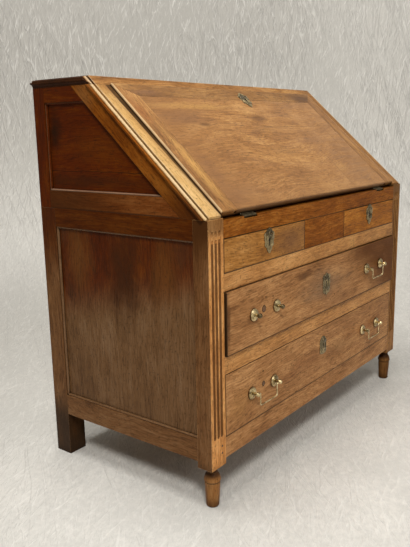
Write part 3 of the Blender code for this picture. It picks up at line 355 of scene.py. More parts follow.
# Painted shade and dirt in gaps, darker where the surface is enclosed, as reach, openness where it starts
# and where it is full, and strength
GAP_SHADE_AND_SOIL = (0.012, 0.85, 0.25, 0.90)


def wood(name, look, centre, grain, seed, edge_wear_and_highlight=0.25, boards=0.0, origin=Vector(), marks=None):
    """Old waxed wood. grain is (along, across); marks are laid on in those two directions, from origin."""
    marks = marks or {}
    light, rough, figure, wax = LOOKS[look][2:]
    along, across = grain
    third = along.cross(across)
    s = Shader(name)
    where = s.object_place()

    def coordinate(direction, shift):
        return s.plus(s.vector("DOT_PRODUCT", where, direction), shift)

    def tones(level, look_name):
        dark, middle, pale = LOOKS[look_name][:3]
        ramp = s.node("ValToRGB", {0: level})
        stops = ramp.color_ramp.elements
        stops[0].position, stops[0].color = 0.26, tone(*dark)
        stops[1].position, stops[1].color = 0.74, tone(*pale)
        stops.new(0.50).color = tone(*middle)
        return ramp.outputs[0]

    a = coordinate(along, -origin.dot(along))
    b = coordinate(across, -origin.dot(across))
    axis = [seed * SPREAD[i] % 1.0 for i in range(3)]
    u = coordinate(along, 7.3 * axis[0] - centre.dot(along))
    v = coordinate(across, 0.16 * (axis[1] - 0.5) - centre.dot(across))
    w = coordinate(third, 0.05 + 0.09 * axis[2] - centre.dot(third))
    chance = None
    if boards:
        cell = s.value("FLOOR", s.value("DIVIDE", b, boards))
        chance = s.node("TexWhiteNoise", {"W": cell}, noise_dimensions="1D").outputs["Value"]
        u = s.plus(u, s.times(chance, 3.7))
        w = s.plus(w, s.times(chance, 0.08))
    place = s.node("CombineXYZ", {0: u, 1: v, 2: w}).outputs[0]

    def stretched(x, y, z, base=None):
        return s.vector("MULTIPLY", base or place, (x, y, z))

    # Grain lines follow a slow sway, and the broader figure lies over them
    sway = s.noise(stretched(2.4, 4.5, 4.5), detail=2.0)
    lean = {0: sway, 1: (0.0, 0.13 * figure, 0.05), 2: place}
    bent = s.node("VectorMath", lean, operation="MULTIPLY_ADD").outputs[0]
    wave = {"Vector": stretched(0.3, 1.0, 1.0, bent), "Scale": 8.0, "Distortion": 6.0, "Detail": 4.0}
    rings = s.node("TexWave", wave, wave_type="RINGS", rings_direction="X").outputs[1]
    streak = s.noise(stretched(4.0, 75.0, 75.0, bent), detail=4.0, roughness=0.62)
    line = s.noise(stretched(11.0, 260.0, 260.0, bent), detail=3.0, roughness=0.6)
    dash = s.noise(stretched(46.0, 300.0, 300.0, bent), detail=2.0, roughness=0.6)
    fine = s.noise(stretched(40.0, 480.0, 480.0, bent), detail=2.0)
    blotch = s.noise(stretched(3.0, 7.0, 7.0), detail=5.0, roughness=0.62, distortion=0.8)
    patch = s.noise(stretched(11.0, 22.0, 22.0), detail=4.0, roughness=0.6)
    speck = s.noise(where, 190.0, 3.0, 0.6)

    parts = [(rings, 0.06 * figure), (streak, 0.26), (line, 0.46), (dash, 0.30)]
    parts += [(blotch, 0.64 * figure), (patch, 0.36)]
    if chance is not None:
        parts.append((chance, 0.34))
    level = s.times(parts[0][0], parts[0][1])
    for part, amount in parts[1:]:
        level = s.node("Math", {0: part, 1: amount, 2: level}, operation="MULTIPLY_ADD").outputs[0]
    level = s.plus(level, 0.5 - sum(amount for _, amount in parts) / 2)
    colour = tones(level, look)
    for other, direction, start, end in marks.get("second_look", ()):
        colour = s.mix(s.between(where, direction, start, end), colour, tones(level, other))

    flat = s.node("CombineXYZ", {0: a, 1: b, 2: 0.0}).outputs[0]
    for at, across_at, radius, across_radius, strength, tint in marks.get("stains", ()):
        off = s.vector("SUBTRACT", flat, (at, across_at, 0.0))
        off = s.vector("MULTIPLY", off, (1 / radius, 1 / across_radius, 0.0))
        far = s.plus(s.vector("LENGTH", off, (0, 0, 0)), s.times(patch, 1.3))
        uneven = s.remap(line, 0.30, 0.60, 0.65, 1.0)
        amount = s.times(s.remap(far, 1.85, 0.75, 0.0, strength), uneven)
        colour = s.mix(amount, colour, tone(*tint))

    colour = s.mix(s.remap(fine, 0.54, 0.70, 0.0, 0.50), colour, DIRT_AND_SHADE)
    colour = s.mix(s.remap(speck, 0.57, 0.72, 0.0, 0.60), colour, DIRT_AND_SHADE)
    for with_grain, at, start, end, width in marks.get("cracks", ()):
        beside, run = (b, a) if with_grain else (a, b)
        wander = s.times(s.value("SUBTRACT", patch, 0.5), 0.012)
        off = s.value("ABSOLUTE", s.plus(s.value("SUBTRACT", beside, at), wander))
        gap = s.times(s.remap(off, width, width * 0.35), s.remap(run, start, start + 0.012))
        gap = s.times(gap, s.remap(run, end, end - 0.012))
        colour = s.mix(s.times(gap, 0.85), colour, DIRT_AND_SHADE)

    for direction, start, end, strength, tint in marks.get("bands", ()):
        side = s.between(where, direction, start, end, strength)
        colour = s.mix(s.times(side, s.remap(patch, 0.25, 0.60, 0.7, 1.0)), colour, tone(*tint))
    for limits, strength, tint in marks.get("hollows", ()):
        amount = strength
        for direction, start, end in limits:
            amount = s.times(s.between(where, direction, start, end), amount)
        colour = s.mix(amount, colour, tone(*tint))
    # Paler edges: wear, and a painted highlight along the arrises
    soft, edge = s.edges(0.0016)
    worn_and_highlit = s.times(edge, s.remap(patch, 0.30, 0.62, 0.35, 1.0))
    colour = s.mix(s.times(worn_and_highlit, edge_wear_and_highlight), colour, tone(*light))
    # Darker where the surface is enclosed, in gaps, joints and corners: painted shade, with some dirt
    for reach, clean, full, strength in marks.get("crevice_shade_and_soil", ()) or [GAP_SHADE_AND_SOIL]:
        colour = s.mix(s.times(s.crevices(reach, clean, full), strength), colour, DIRT_AND_SHADE)
    # Broad darkening near inner corners, uneven with the blotches: painted shade and grime
    broad_shade_and_grime = s.times(s.crevices(0.045), s.remap(blotch, 0.30, 0.65, 0.25, 0.75))
    colour = s.mix(broad_shade_and_grime, colour, DIRT_AND_SHADE)

    height = s.plus(s.times(streak, 0.4), s.times(fine, 0.35))
    bump = s.bump(height, 0.22, 0.0012, soft)
    gloss = s.remap(s.plus(streak, blotch), 0.7, 1.3, rough - 0.07, rough + 0.10)
    return s.finish({"Base Color": colour, "Roughness": gloss, "Normal": bump, "Specular IOR Level": wax})


def brass(name, rubbed_and_highlit, bright, dull, patina, rough, ends=None):
    """Old cast brass, dull in its hollows, brighter at its edges where rubbed and as a painted highlight;
    ends (direction, from, to) are black.
    """
    s = Shader(name)
    where = s.object_place()
    cloud = s.noise(where, 60.0, 4.0, 0.6)
    speck = s.noise(where, 420.0, 3.0, 0.6)
    soft, edge = s.edges(0.0007)
    colour = s.mix(s.remap(cloud, 0.36, 0.64), dull, bright)
    colour = s.mix(s.remap(speck, 0.52, 0.72, 0.0, 0.55), colour, patina)
    # Paler edges: rubbed brass and a painted highlight
    colour = s.mix(s.times(edge, 0.65), colour, rubbed_and_highlit)
    colour = s.mix(s.times(s.crevices(0.004, 0.92, 0.45), 0.9), colour, DIRT_AND_SHADE)
    if ends:
        colour = s.mix(s.between(where, *ends, 0.85), colour, patina)
    gloss = s.remap(s.plus(cloud, speck), 0.75, 1.25, rough - 0.08, rough + 0.16)
    bump = s.bump(speck, 0.18, 0.0006, soft)
    return s.finish({"Base Color": colour, "Metallic": 1.0, "Roughness": gloss, "Normal": bump})


def iron(name):
    """Blackened old iron."""
    s = Shader(name)
    where = s.object_place()
    cloud = s.noise(where, 90.0, 4.0, 0.6)
    colour = s.mix(s.remap(cloud, 0.4, 0.65), tone(0.020, 0.017, 0.014), tone(0.060, 0.040, 0.026))
    bump = s.bump(cloud, 0.2, 0.0006)
    gloss = s.remap(cloud, 0.35, 0.65, 0.55, 0.8)
    return s.finish({"Base Color": colour, "Metallic": 0.6, "Roughness": gloss, "Normal": bump})


def hollow(name):
    """A near-black that stands for the shade inside a keyhole or an old hole: painted shade."""
    s = Shader(name)
    grain = s.noise(s.object_place(), 500.0, 2.0)
    colour = s.mix(s.remap(grain, 0.3, 0.7), tone(0.006, 0.004, 0.003), tone(0.022, 0.013, 0.007))
    return s.finish({"Base Color": colour, "Roughness": 0.9, "Specular IOR Level": 0.1})


def end_grain(name, dark, light):
    """Pegs and plugs, seen on their ends."""
    s = Shader(name)
    where = s.object_place()
    grain = s.noise(where, 700.0, 3.0, 0.6)
    cloud = s.noise(where, 40.0, 2.0)
    colour = s.mix(s.remap(s.plus(grain, cloud), 0.75, 1.3), dark, light)
    # Darker where enclosed: painted shade and dirt
    colour = s.mix(s.times(s.crevices(0.002), 0.7), colour, DIRT_AND_SHADE)
    bump = s.bump(grain, 0.2, 0.0005)
    return s.finish({"Base Color": colour, "Roughness": 0.55, "Normal": bump})


def cloth(name, pale, grey, across, up):
    """A pale creased backdrop cloth, clear when seen from behind; across and up lie in the cloth."""
    s = Shader(name)
    where = s.object_place()
    t = s.vector("DOT_PRODUCT", where, across)
    q = s.vector("DOT_PRODUCT", where, up)
    flat = s.node("CombineXYZ", {0: t, 1: q, 2: 0.0}).outputs[0]

    def drawn(turn, narrow, long, roughness):
        """Noise drawn out along the cloth and turned in it."""
        turned = s.node("VectorRotate", {"Vector": flat, "Angle": turn}, rotation_type="Z_AXIS").outputs[0]
        return s.noise(s.vector("MULTIPLY", turned, (narrow, long, 1.0)), 1.0, 3.0, roughness, 0.6)

    def creases(turn, narrow, long, width):
        middle = s.value("SUBTRACT", drawn(turn, narrow, long, 0.5), 0.5)
        return s.remap(s.value("ABSOLUTE", middle), width, 0.0)

    # The pale of the creases: painted highlights on them
    crease = tone(0.96, 0.93, 0.87)
    crush = s.value("MAXIMUM", drawn(-0.08, 120.0, 11.0, 0.6), drawn(0.42, 110.0, 12.0, 0.6))
    weave = s.noise(where, 55.0, 4.0, 0.7)
    cloud = s.noise(where, 2.2, 3.0, 0.6)
    upright = creases(0.12, 32.0, 2.6, 0.034)
    leaning = creases(-0.30, 20.0, 1.6, 0.020)
    lines = s.value("MAXIMUM", s.times(upright, 0.8), leaning)
    lines = s.times(lines, s.remap(cloud, 0.35, 0.60, 0.15, 1.0))
    height_up = s.vector("DOT_PRODUCT", where, Z)
    lines = s.times(lines, s.remap(height_up, 0.0, 0.6, 0.4, 1.0))
    colour = s.mix(s.remap(s.plus(weave, cloud), 0.75, 1.25), grey, pale)
    colour = s.mix(s.remap(height_up, 0.0, 0.45, 0.0, 0.45), colour, tone(0.72, 0.695, 0.64))
    # Painted shade: the floor darker towards its left, near the ground
    left_floor_shade = s.times(s.remap(t, -0.35, -1.10, 0.0, 0.62), s.remap(height_up, 0.30, 0.0))
    colour = s.mix(left_floor_shade, colour, tone(0.47, 0.45, 0.41))
    # Painted shade: the wall darker higher up, most on its left
    high = s.times(s.remap(height_up, 0.20, 1.50, 0.0, 0.54), s.remap(t, 0.1, 0.9, 1.0, 0.35))
    colour = s.mix(high, colour, tone(0.34, 0.322, 0.288))
    # Pale crease lines and glints: painted highlights on the cloth's creases
    colour = s.mix(s.times(lines, 0.32), colour, crease)
    glints = s.times(s.remap(crush, 0.56, 0.70), s.remap(height_up, 0.0, 0.6, 0.22, 0.42))
    colour = s.mix(glints, colour, crease)
    height = s.plus(s.times(lines, 0.6), s.times(weave, 0.25))
    height = s.plus(height, s.times(crush, 0.7))
    bump = s.bump(height, 0.7, 0.008)
    s.finish({"Base Color": colour, "Roughness": 0.85, "Normal": bump, "Specular IOR Level": 0.2})
    behind = s.node("NewGeometry", {}).outputs["Backfacing"]
    clear = s.node("BsdfTransparent", {}).outputs[0]
    both = s.node("MixShader", {0: behind, 1: s.surface.outputs[0], 2: clear}).outputs[0]
    s.tree.links.new(both, s.tree.nodes["Material Output"].inputs[0])
    return s.material


# Woods of the carried-over solids

GRAINS = {
    "x": (X, Z),
    "y": (Y, Z),
    "z": (Z, Y),
    "level": (X, Y),
    "board": (Z, X),
    "lid": (X, UP_SLOPE),
    "slant": (UP_SLOPE, X),
}
GOLD = (0.56, 0.30, 0.085)
GREY = (0.20, 0.095, 0.045)
UMBER = (0.075, 0.027, 0.009)
RUST = (0.26, 0.085, 0.022)
HONEY = (0.47, 0.235, 0.072)

# Stains as (along, across, radius along, radius across, strength, tint), in the grain's own directions
STAINS = {
    "lid_panel": [
        (-0.30, 0.384, 0.26, 0.016, 0.75, GOLD),
        (-0.34, 0.335, 0.13, 0.040, 0.60, GREY),
        (-0.27, 0.308, 0.028, 0.010, 0.75, UMBER),
        (-0.41, 0.140, 0.045, 0.090, 0.55, GREY),
        (-0.37, 0.060, 0.120, 0.030, 0.50, GREY),
        (0.10, 0.285, 0.18, 0.020, 0.50, HONEY),
        (-0.02, 0.180, 0.16, 0.040, 0.50, HONEY),
        (0.24, 0.225, 0.14, 0.028, 0.60, GREY),
        (0.02, 0.335, 0.06, 0.020, 0.45, UMBER),
        (0.24, 0.100, 0.05, 0.030, 0.45, GOLD),
    ],
    "lid_top_rail": [
        (-0.40, 0.435, 0.075, 0.014, 0.70, GREY),
        (0.43, 0.440, 0.10, 0.026, 0.70, UMBER),
    ],
    "slant_rail_left": [
        (0.470, -0.530, 0.055, 0.050, 0.75, (0.30, 0.125, 0.032)),
        (0.300, -0.520, 0.100, 0.030, 0.35, GOLD),
    ],
    "lid_stile_left": [
        (0.17, -0.458, 0.170, 0.020, 0.85, GOLD),
        (0.36, -0.480, 0.060, 0.030, 0.60, RUST),
    ],
    "side_panel_left": [
        (0.600, 0.175, 0.120, 0.060, 0.75, (0.150, 0.054, 0.010)),
        (0.590, -0.130, 0.120, 0.055, 0.75, (0.140, 0.048, 0.008)),
        (0.570, 0.000, 0.160, 0.075, 0.85, (0.040, 0.011, 0.001)),
        (0.640, -0.190, 0.060, 0.050, 0.60, UMBER),
        (0.655, 0.235, 0.050, 0.030, 0.70, UMBER),
    ],
    "gable_panel_left": [
        (0.238, 0.920, 0.030, 0.065, 0.95, (0.018, 0.005, 0.001)),
        (0.060, 0.880, 0.150, 0.055, 0.50, (0.120, 0.030, 0.002)),
        (0.110, 0.795, 0.320, 0.022, 0.75, (0.045, 0.012, 0.002)),
    ],
    "upper_drawer_front": [
        (-0.130, 0.516, 0.055, 0.016, 0.70, UMBER),
        (0.240, 0.520, 0.130, 0.026, 0.60, (0.150, 0.052, 0.010)),
        (0.000, 0.470, 0.170, 0.055, 0.80, (0.21, 0.125, 0.070)),
        (0.070, 0.408, 0.150, 0.020, 0.35, GREY),
        # A dark strip down the left end of the face: painted shade beside the gap
        (-0.495, 0.462, 0.010, 0.080, 0.80, UMBER),
    ],
    "lower_drawer_front": [
        (-0.100, 0.250, 0.200, 0.030, 0.30, (0.22, 0.080, 0.030)),
        (0.110, 0.245, 0.150, 0.034, 0.55, (0.175, 0.075, 0.026)),
        (0.270, 0.262, 0.150, 0.024, 0.45, RUST),
        (-0.440, 0.240, 0.060, 0.050, 0.35, HONEY),
    ],
    "small_drawer_left_front": [
        (-0.185, 0.625, 0.110, 0.055, 0.85, (0.19, 0.082, 0.030)),
        (-0.420, 0.640, 0.060, 0.030, 0.35, HONEY),
    ],
    "front_upper_divider": [(0.185, 0.566, 0.022, 0.030, 0.55, GOLD)],
}
# A dark patch round each rosette, reaching a little below it: grime from hands and the rosette's painted
# shadow
for level, z in HANDLE_Z.items():
    for _, side in SIDES:
        for end in (-1, 1):
            x = side * HANDLE_X + end * HANDLE_SPACING / 2
            STAINS[f"{level}_drawer_front"].append((x, z - 0.004, 0.027, 0.024, 0.55, UMBER))
CRACKS = {
    "lid_panel": [
        (True, 0.295, 0.005, 0.440, 0.0011),
        (False, 0.212, 0.012, 0.195, 0.0012),
        (False, 0.216, 0.330, 0.412, 0.0009),
        (False, 0.372, 0.190, 0.285, 0.0013),
        (True, 0.228, 0.372, 0.425, 0.0010),
    ],
    "lid_stile_right": [(False, 0.470, 0.290, 0.300, 0.0011)],
    "gable_panel_left": [(True, 0.820, -0.3, 0.3, 0.0012)],
    "gable_panel_right": [(True, 0.820, -0.3, 0.3, 0.0012)],
    "front_upper_divider": [(False, 0.196, 0.540, 0.592, 0.0010)],
}
# Bands as (direction, place where they start, place where they are full, strength, tint)
# Near-black brown of painted shade in gaps and seams, under parts and on faces turned from the light
SHADE_DARK = (0.030, 0.016, 0.008)
BONE = (0.72, 0.57, 0.37)
SLATE = (0.075, 0.056, 0.046)
ON_SLOPE = SLOPE_FOOT.dot(OFF_SLOPE)
UP_FOOT = SLOPE_FOOT.dot(UP_SLOPE)
BANDS = {}
SECOND_LOOKS = {}
CREVICE_SHADES_AND_SOIL = {}
HOLLOWS = {}
FLUTES = (0.165, 0.668)      # from and up to this height
FOOT_TOP = 0.105
CAP_SEAM = (ON_SLOPE - 0.0074, ON_SLOPE - 0.0066)
TURNED_HOLLOW_SHADE = (0.030, 0.010, 0.003)
for label, side in SIDES:
    crest = X * side * 0.35 + OFF_SLOPE
    crest_at = HALF * 0.35 + ON_SLOPE
    # A pale painted highlight along the crest of the bead
    crest_highlight = (crest, crest_at - 0.0048, crest_at - 0.0034, 0.55, BONE)
    outer_face = (X * side, HALF - 0.0012, HALF - 0.0003)
    cap = "strip" if side < 0 else "lid"
    SECOND_LOOKS[f"slant_rail_{label}"] = [(cap, OFF_SLOPE, *CAP_SEAM)]
    BANDS[f"slant_rail_{label}"] = [crest_highlight]
    low_end = [
        (-UP_SLOPE, -UP_FOOT - 0.20, -UP_FOOT - 0.03),
        (-OFF_SLOPE, -CAP_SEAM[1], -CAP_SEAM[0]),
    ]
    HOLLOWS[f"slant_rail_{label}"] = [(low_end, 0.80, (0.040, 0.010, 0.002))]
    # Stronger darkening where enclosed, in the flutes and joints: painted shade and dirt
    CREVICE_SHADES_AND_SOIL[f"slant_rail_{label}"] = [(0.012, 0.60, 0.15, 0.60)]
    CREVICE_SHADES_AND_SOIL[f"front_post_{label}"] = [(0.012, 0.60, 0.15, 0.80)]
    # Painted shade in the flutes: the limits of the darkened grooves
    flute_limits = [
        (Y, FRONT_Y + 0.0004, FRONT_Y + 0.0018),
        (X * -side, 0.0060 - HALF, 0.0075 - HALF),
        (Z, FLUTES[0], FLUTES[0] + 0.006),
        (-Z, -FLUTES[1], 0.006 - FLUTES[1]),
    ]
    HOLLOWS[f"front_post_{label}"] = [
        (flute_limits, 0.88, (0.085, 0.030, 0.008)),
        ([outer_face, (Z, 0.40, 0.64)], 0.22, (0.095, 0.026, 0.002)),
        ([(-Z, -FOOT_TOP - 0.004, -FOOT_TOP + 0.003)], 0.35, (0.110, 0.042, 0.012)),
        # Painted shade round the foot's neck and in the groove under its ring
        ([(-Z, -FOOT_TOP - 0.0005, -FOOT_TOP + 0.0005), (Z, 0.073, 0.088)], 0.85, TURNED_HOLLOW_SHADE),
        ([(-Z, -0.0682, -0.0674), (Z, 0.0640, 0.0655)], 0.75, TURNED_HOLLOW_SHADE),
        ([(Z, 0.662, 0.700)], 0.75, (0.140, 0.062, 0.019)),
        ([outer_face, (Z, 0.610, 0.690)], 0.85, (0.050, 0.014, 0.001)),
    ]
    BANDS.setdefault("top_board", []).append(crest_highlight)
    SECOND_LOOKS[f"front_post_{label}"] = [("frame", *outer_face)]
    BANDS[f"rear_post_{label}"] = [(Z, 0.200, 0.100, 0.90, (0.022, 0.011, 0.005))]
    # Darker at the foot's shoulder and at its tip by the floor: painted shade
    BANDS[f"front_post_{label}"] = [
        (Z, FOOT_TOP + 0.023, FOOT_TOP - 0.002, 0.45, SHADE_DARK),
        (Z, 0.030, 0.004, 0.6, SHADE_DARK),
    ]
    # Lid stiles: the outer side face painted dark as shade, and a pale painted highlight along the outer
    # arris of the face
    BANDS[f"lid_stile_{label}"] = [
        (X * side - OFF_SLOPE, 0.4960 - ON_SLOPE, 0.4985 - ON_SLOPE, 0.85, (0.045, 0.022, 0.014)),
        (X * side + OFF_SLOPE, 0.5028 + ON_SLOPE, 0.5052 + ON_SLOPE, 0.65, (0.62, 0.45, 0.24)),
    ]
    SECOND_LOOKS[f"rear_post_{label}"] = [("rail", Z, 0.45, 0.66)]
    # Lower part of each side panel in the lighter, greyer look: painted reflection of the floor
    SECOND_LOOKS[f"side_panel_{label}"] = [("side_floor_reflection", Vector((0, -0.2167, -0.976)), -0.560, -0.430)]
# Painted shadow of the lid on the left strip: a soft band, and a near-black line in the gap beside the
# lid's edge
lid_shadow_direction = X + UP_SLOPE * 0.028
lid_shadow_at = UP_FOOT * 0.028 - 0.5030
BANDS["slant_rail_left"] += [
    (lid_shadow_direction, lid_shadow_at - 0.0160, lid_shadow_at, 0.40, GREY),
    (lid_shadow_direction, lid_shadow_at - 0.0030, lid_shadow_at + 0.0010, 0.92, (0.018, 0.006, 0.002)),
]
SECOND_LOOKS["top_board"] = [("lid", OFF_SLOPE, *CAP_SEAM)]
BANDS["lid_panel"] = [
    (-X, 0.10, 0.46, 0.55, (0.25, 0.112, 0.036)),
    (-UP_SLOPE, -UP_FOOT - 0.20, -UP_FOOT - 0.02, 0.30, (0.25, 0.122, 0.050)),
    (X, -0.10, 0.45, 0.35, (0.48, 0.25, 0.105)),
    # A greyer strip along the lid's lower edge: end grain, darkened as painted shade
    (UP_SLOPE, UP_FOOT + 0.0130, UP_FOOT + 0.0108, 0.25, SLATE),
]
BANDS["upper_drawer_front"] = [
    # The left side face painted dark as shade
    (-X, 0.4975, 0.5004, 0.90, SHADE_DARK),
    (X * 0.6 + Z * 0.8, 0.47, 0.62, 0.92, (0.095, 0.026, 0.001)),
    # A pale line along the top edge: wear and painted highlight
    (Z, 0.5425, 0.5445, 0.50, HONEY),
]

# Dark lines along the foot and both ends of each drawer front: painted shade in the gaps
for drawer in ("small_drawer_left", "small_drawer_right", "upper_drawer", "lower_drawer"):
    low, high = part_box(f"{drawer}_front")
    gap_shade_lines = BANDS.setdefault(f"{drawer}_front", [])
    gap_shade_lines.append((-Z, -low.z - 0.0046, -low.z - 0.0014, 0.90, SHADE_DARK))
    gap_shade_lines.append((X, high.x - 0.0030, high.x - 0.0008, 0.80, SHADE_DARK))
    gap_shade_lines.append((-X, -low.x - 0.0030, -low.x - 0.0008, 0.80, SHADE_DARK))
row_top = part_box("front_top_rail")[0].z
row_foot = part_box("front_upper_divider")[1].z
# A dark line under the rail above the small drawers and the fixed front, and one at the fixed front's foot:
# painted shadow and shade in the seams
for node in ("small_drawer_left_front", "centre_fixed_front", "small_drawer_right_front"):
    BANDS.setdefault(node, []).append((Z, row_top - 0.0042, row_top - 0.0014, 0.85, SHADE_DARK))
BANDS["centre_fixed_front"].append((-Z, -row_foot - 0.0036, -row_foot - 0.0012, 0.75, SHADE_DARK))
for label, _ in SIDES:
    foot_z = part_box(f"gable_bottom_rail_{label}")[0].z
    # A dark line along the rail's lower edge, painted shade in the seam; the rail also darkens towards the
    # back
    BANDS[f"gable_bottom_rail_{label}"] = [
        (-Z, -foot_z - 0.0040, -foot_z - 0.0015, 0.80, SHADE_DARK),
        (Y, -0.10, 0.20, 0.75, (0.042, 0.013, 0.003)),
    ]
# A pale line along each divider's top edge: wear and painted highlight
for level in ("upper", "lower"):
    node = f"front_{level}_divider"
    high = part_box(node)[1]
    BANDS[node] = [(Z, high.z - 0.0030, high.z - 0.0012, 0.55, HONEY)]


# Look, grain and strength of the pale edges (wear and painted highlight) of each wooden node; {} stands for
# left and right, or for upper and lower
SIDE_WOODS = {
    "front_post_{}": ("post", "z", 0.9),
    "rear_post_{}": ("frame", "z", 0.80),
    "side_top_rail_{}": ("rail", "y", 0.15),
    "side_bottom_rail_{}": ("frame", "y", 0.30),
    "side_panel_{}": ("side", "z", 0.0),
    "gable_rear_stile_{}": ("gable", "z", 0.20),
    "gable_top_rail_{}": ("gable", "y", 0.15),
    "gable_bottom_rail_{}": ("sill", "y", 0.25),
    "gable_panel_{}": ("gable", "y", 0.0),
    "slant_rail_{}": ("slant", "slant", 0.5),
    "lid_stile_{}": ("lid", "slant", 0.8),
    "small_drawer_{}_front": ("front", "x", 0.25),
    "small_drawer_{}_box": ("oak", "y", 0.15),
}
LEVEL_WOODS = {
    "{}_drawer_front": ("brown", "x", 0.45),
    "{}_drawer_box": ("oak", "y", 0.15),
    "front_{}_divider": ("divider", "x", 0.35),
}
SINGLE_WOODS = {
    "upper_dust_board": ("oak", "level", 0.1),
    "middle_dust_board": ("oak", "level", 0.1),
    "bottom_dust_board": ("oak", "level", 0.1),
    "front_top_rail": ("red", "x", 0.30),
    "front_bottom_rail": ("brown", "x", 0.90),
    "centre_fixed_front": ("red", "x", 0.15),
    "writing_bed": ("lid", "level", 0.2),
    "back_panel": ("back", "board", 0.1),
    "top_board": ("top", "level", 0.5),
    "pigeonhole_case": ("oak", "x", 0.25),
    "inner_drawer": ("front", "x", 0.25),
    "lid_panel": ("lid", "lid", 0.5),
    "lid_top_rail": ("lid_rail", "lid", 0.5),
    "small_drawer_right_front": ("amber", "x", 0.25),
    "front_post_right": ("far_post", "z", 0.5),
}


def wood_plan():
    """Every wooden node with its row; a row of its own comes before a shared one."""
    plan = {}
    for shared, words in ((SIDE_WOODS, ("left", "right")), (LEVEL_WOODS, ("upper", "lower"))):
        for pattern, row in shared.items():
            for word in words:
                plan[pattern.format(word)] = row
    return {**plan, **SINGLE_WOODS}


def dress(node, material):
    NODES[node].data.materials.clear()
    NODES[node].data.materials.append(material)


BACK_BOARD = 0.18
for number, (node, (look, grain, edge_wear_and_highlight)) in enumerate(sorted(wood_plan().items())):
    low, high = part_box(node)
    boards = BACK_BOARD if node == "back_panel" else 0.0
    origin = SLOPE_FOOT if grain in ("lid", "slant") else Vector()
    marks = {
        "stains": STAINS.get(node, ()),
        "cracks": CRACKS.get(node, ()),
        "bands": BANDS.get(node, ()),
        "second_look": SECOND_LOOKS.get(node, ()),
        "crevice_shade_and_soil": CREVICE_SHADES_AND_SOIL.get(node, ()),
        "hollows": HOLLOWS.get(node, ()),
    }
    middle = (low + high) / 2
    dress(node, wood(node + "_wood", look, middle, GRAINS[grain], number + 1, edge_wear_and_highlight, boards, origin, marks))

RUBBED_AND_HIGHLIT = tone(0.80, 0.68, 0.44)
POST_TONES = (RUBBED_AND_HIGHLIT, tone(0.80, 0.64, 0.35), tone(0.22, 0.155, 0.07), tone(0.06, 0.042, 0.02))
post_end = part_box("upper_drawer_handle_post_left_a")[0].y
bare_end = (-Y, -post_end - 0.016, -post_end - 0.009)
handle_brass = brass("handle_brass", *POST_TONES, 0.22)
bare_post_brass = brass("bare_post_brass", *POST_TONES, 0.22, bare_end)
bail_brass = brass(
    "bail_brass", RUBBED_AND_HIGHLIT,
    tone(0.86, 0.71, 0.43), tone(0.46, 0.35, 0.18), tone(0.12, 0.085, 0.04), 0.26)
# Escutcheon brass: a dark field with bright edges, the dark partly painted shade of the pierced work
plate_brass = brass(
    "plate_brass", RUBBED_AND_HIGHLIT,
    tone(0.42, 0.32, 0.16), tone(0.105, 0.078, 0.038), tone(0.03, 0.023, 0.012), 0.30)
hinge_brass = brass(
    "hinge_brass", tone(0.30, 0.23, 0.13),
    tone(0.18, 0.14, 0.08), tone(0.09, 0.07, 0.04), tone(0.04, 0.03, 0.02), 0.50)
lock_iron = iron("lock_iron")
painted_hole_shade = hollow("painted_hole_shade")
peg_wood = end_grain("peg_wood", tone(0.06, 0.022, 0.006), tone(0.13, 0.052, 0.016))
plug_wood = end_grain("plug_wood", tone(0.10, 0.042, 0.014), tone(0.26, 0.12, 0.045))
MOULDING_CREST = HALF - 0.0031
# Painted highlights on the panel mouldings: a pale line along their crest, and on the gable moulding the
# bottom run, which faces up, paler with highlight and dust
CREST_HIGHLIGHTS = [
    (direction, MOULDING_CREST - 0.0012, MOULDING_CREST, 0.40, (0.24, 0.13, 0.07))
    for direction in (X, -X)
]
PALE_HIGHLIGHT_RUN = [(-Z, -0.7720, -0.7705, 0.55, (0.42, 0.27, 0.17))]
# The side panels' moulding is all in the look with the painted floor reflection
moulding_wood = wood(
    "moulding_wood", "side_floor_reflection", Vector((0, 0, 0.5)), GRAINS["z"], 77, 0.4,
    marks={"bands": CREST_HIGHLIGHTS})
gable_moulding_wood = wood(
    "gable_moulding_wood", "gable", Vector((0, 0, 0.9)), GRAINS["y"], 78, 0.4,
    marks={"bands": CREST_HIGHLIGHTS + PALE_HIGHLIGHT_RUN})

for node in NODES:
    if node.startswith("hinge_"):
        dress(node, hinge_brass)
    elif "_bail_" in node:
        dress(node, bail_brass)
    elif "upper_drawer_handle_post_left" in node:
        dress(node, bare_post_brass)
    elif "_handle_post_" in node:
        dress(node, handle_brass)


# Moulding round the sunk panels


def moulding_profile():
    """A quarter round with a small fillet, as (inwards, height off the frame)."""
    profile = [(0.0003, -PANEL_RECESS + 0.0003), (0.0003, -0.0030)]
    for degrees in (90, 70, 50, 30, 10):
        t = math.radians(degrees)
        profile.append((0.0008 + 0.0028 * math.cos(t), -0.0058 + 0.0028 * math.sin(t)))
    return profile + [(0.0040, -0.0062), (0.0050, -0.0068), (0.0050, -PANEL_RECESS + 0.0003)]


def panel_moulding(name, corners, side, material):
    def place(y, z, height):
        return Vector((side * (HALF + height), y, z))

    shape = swept(corners, moulding_profile(), place)
    piece(name, [shape], material, "carcase", 30)


def slope_y(z, out):
    along = (z - SLOPE_FOOT.z - out * math.cos(SLOPE)) / math.sin(SLOPE)
    return on_slope(0, along, out).y


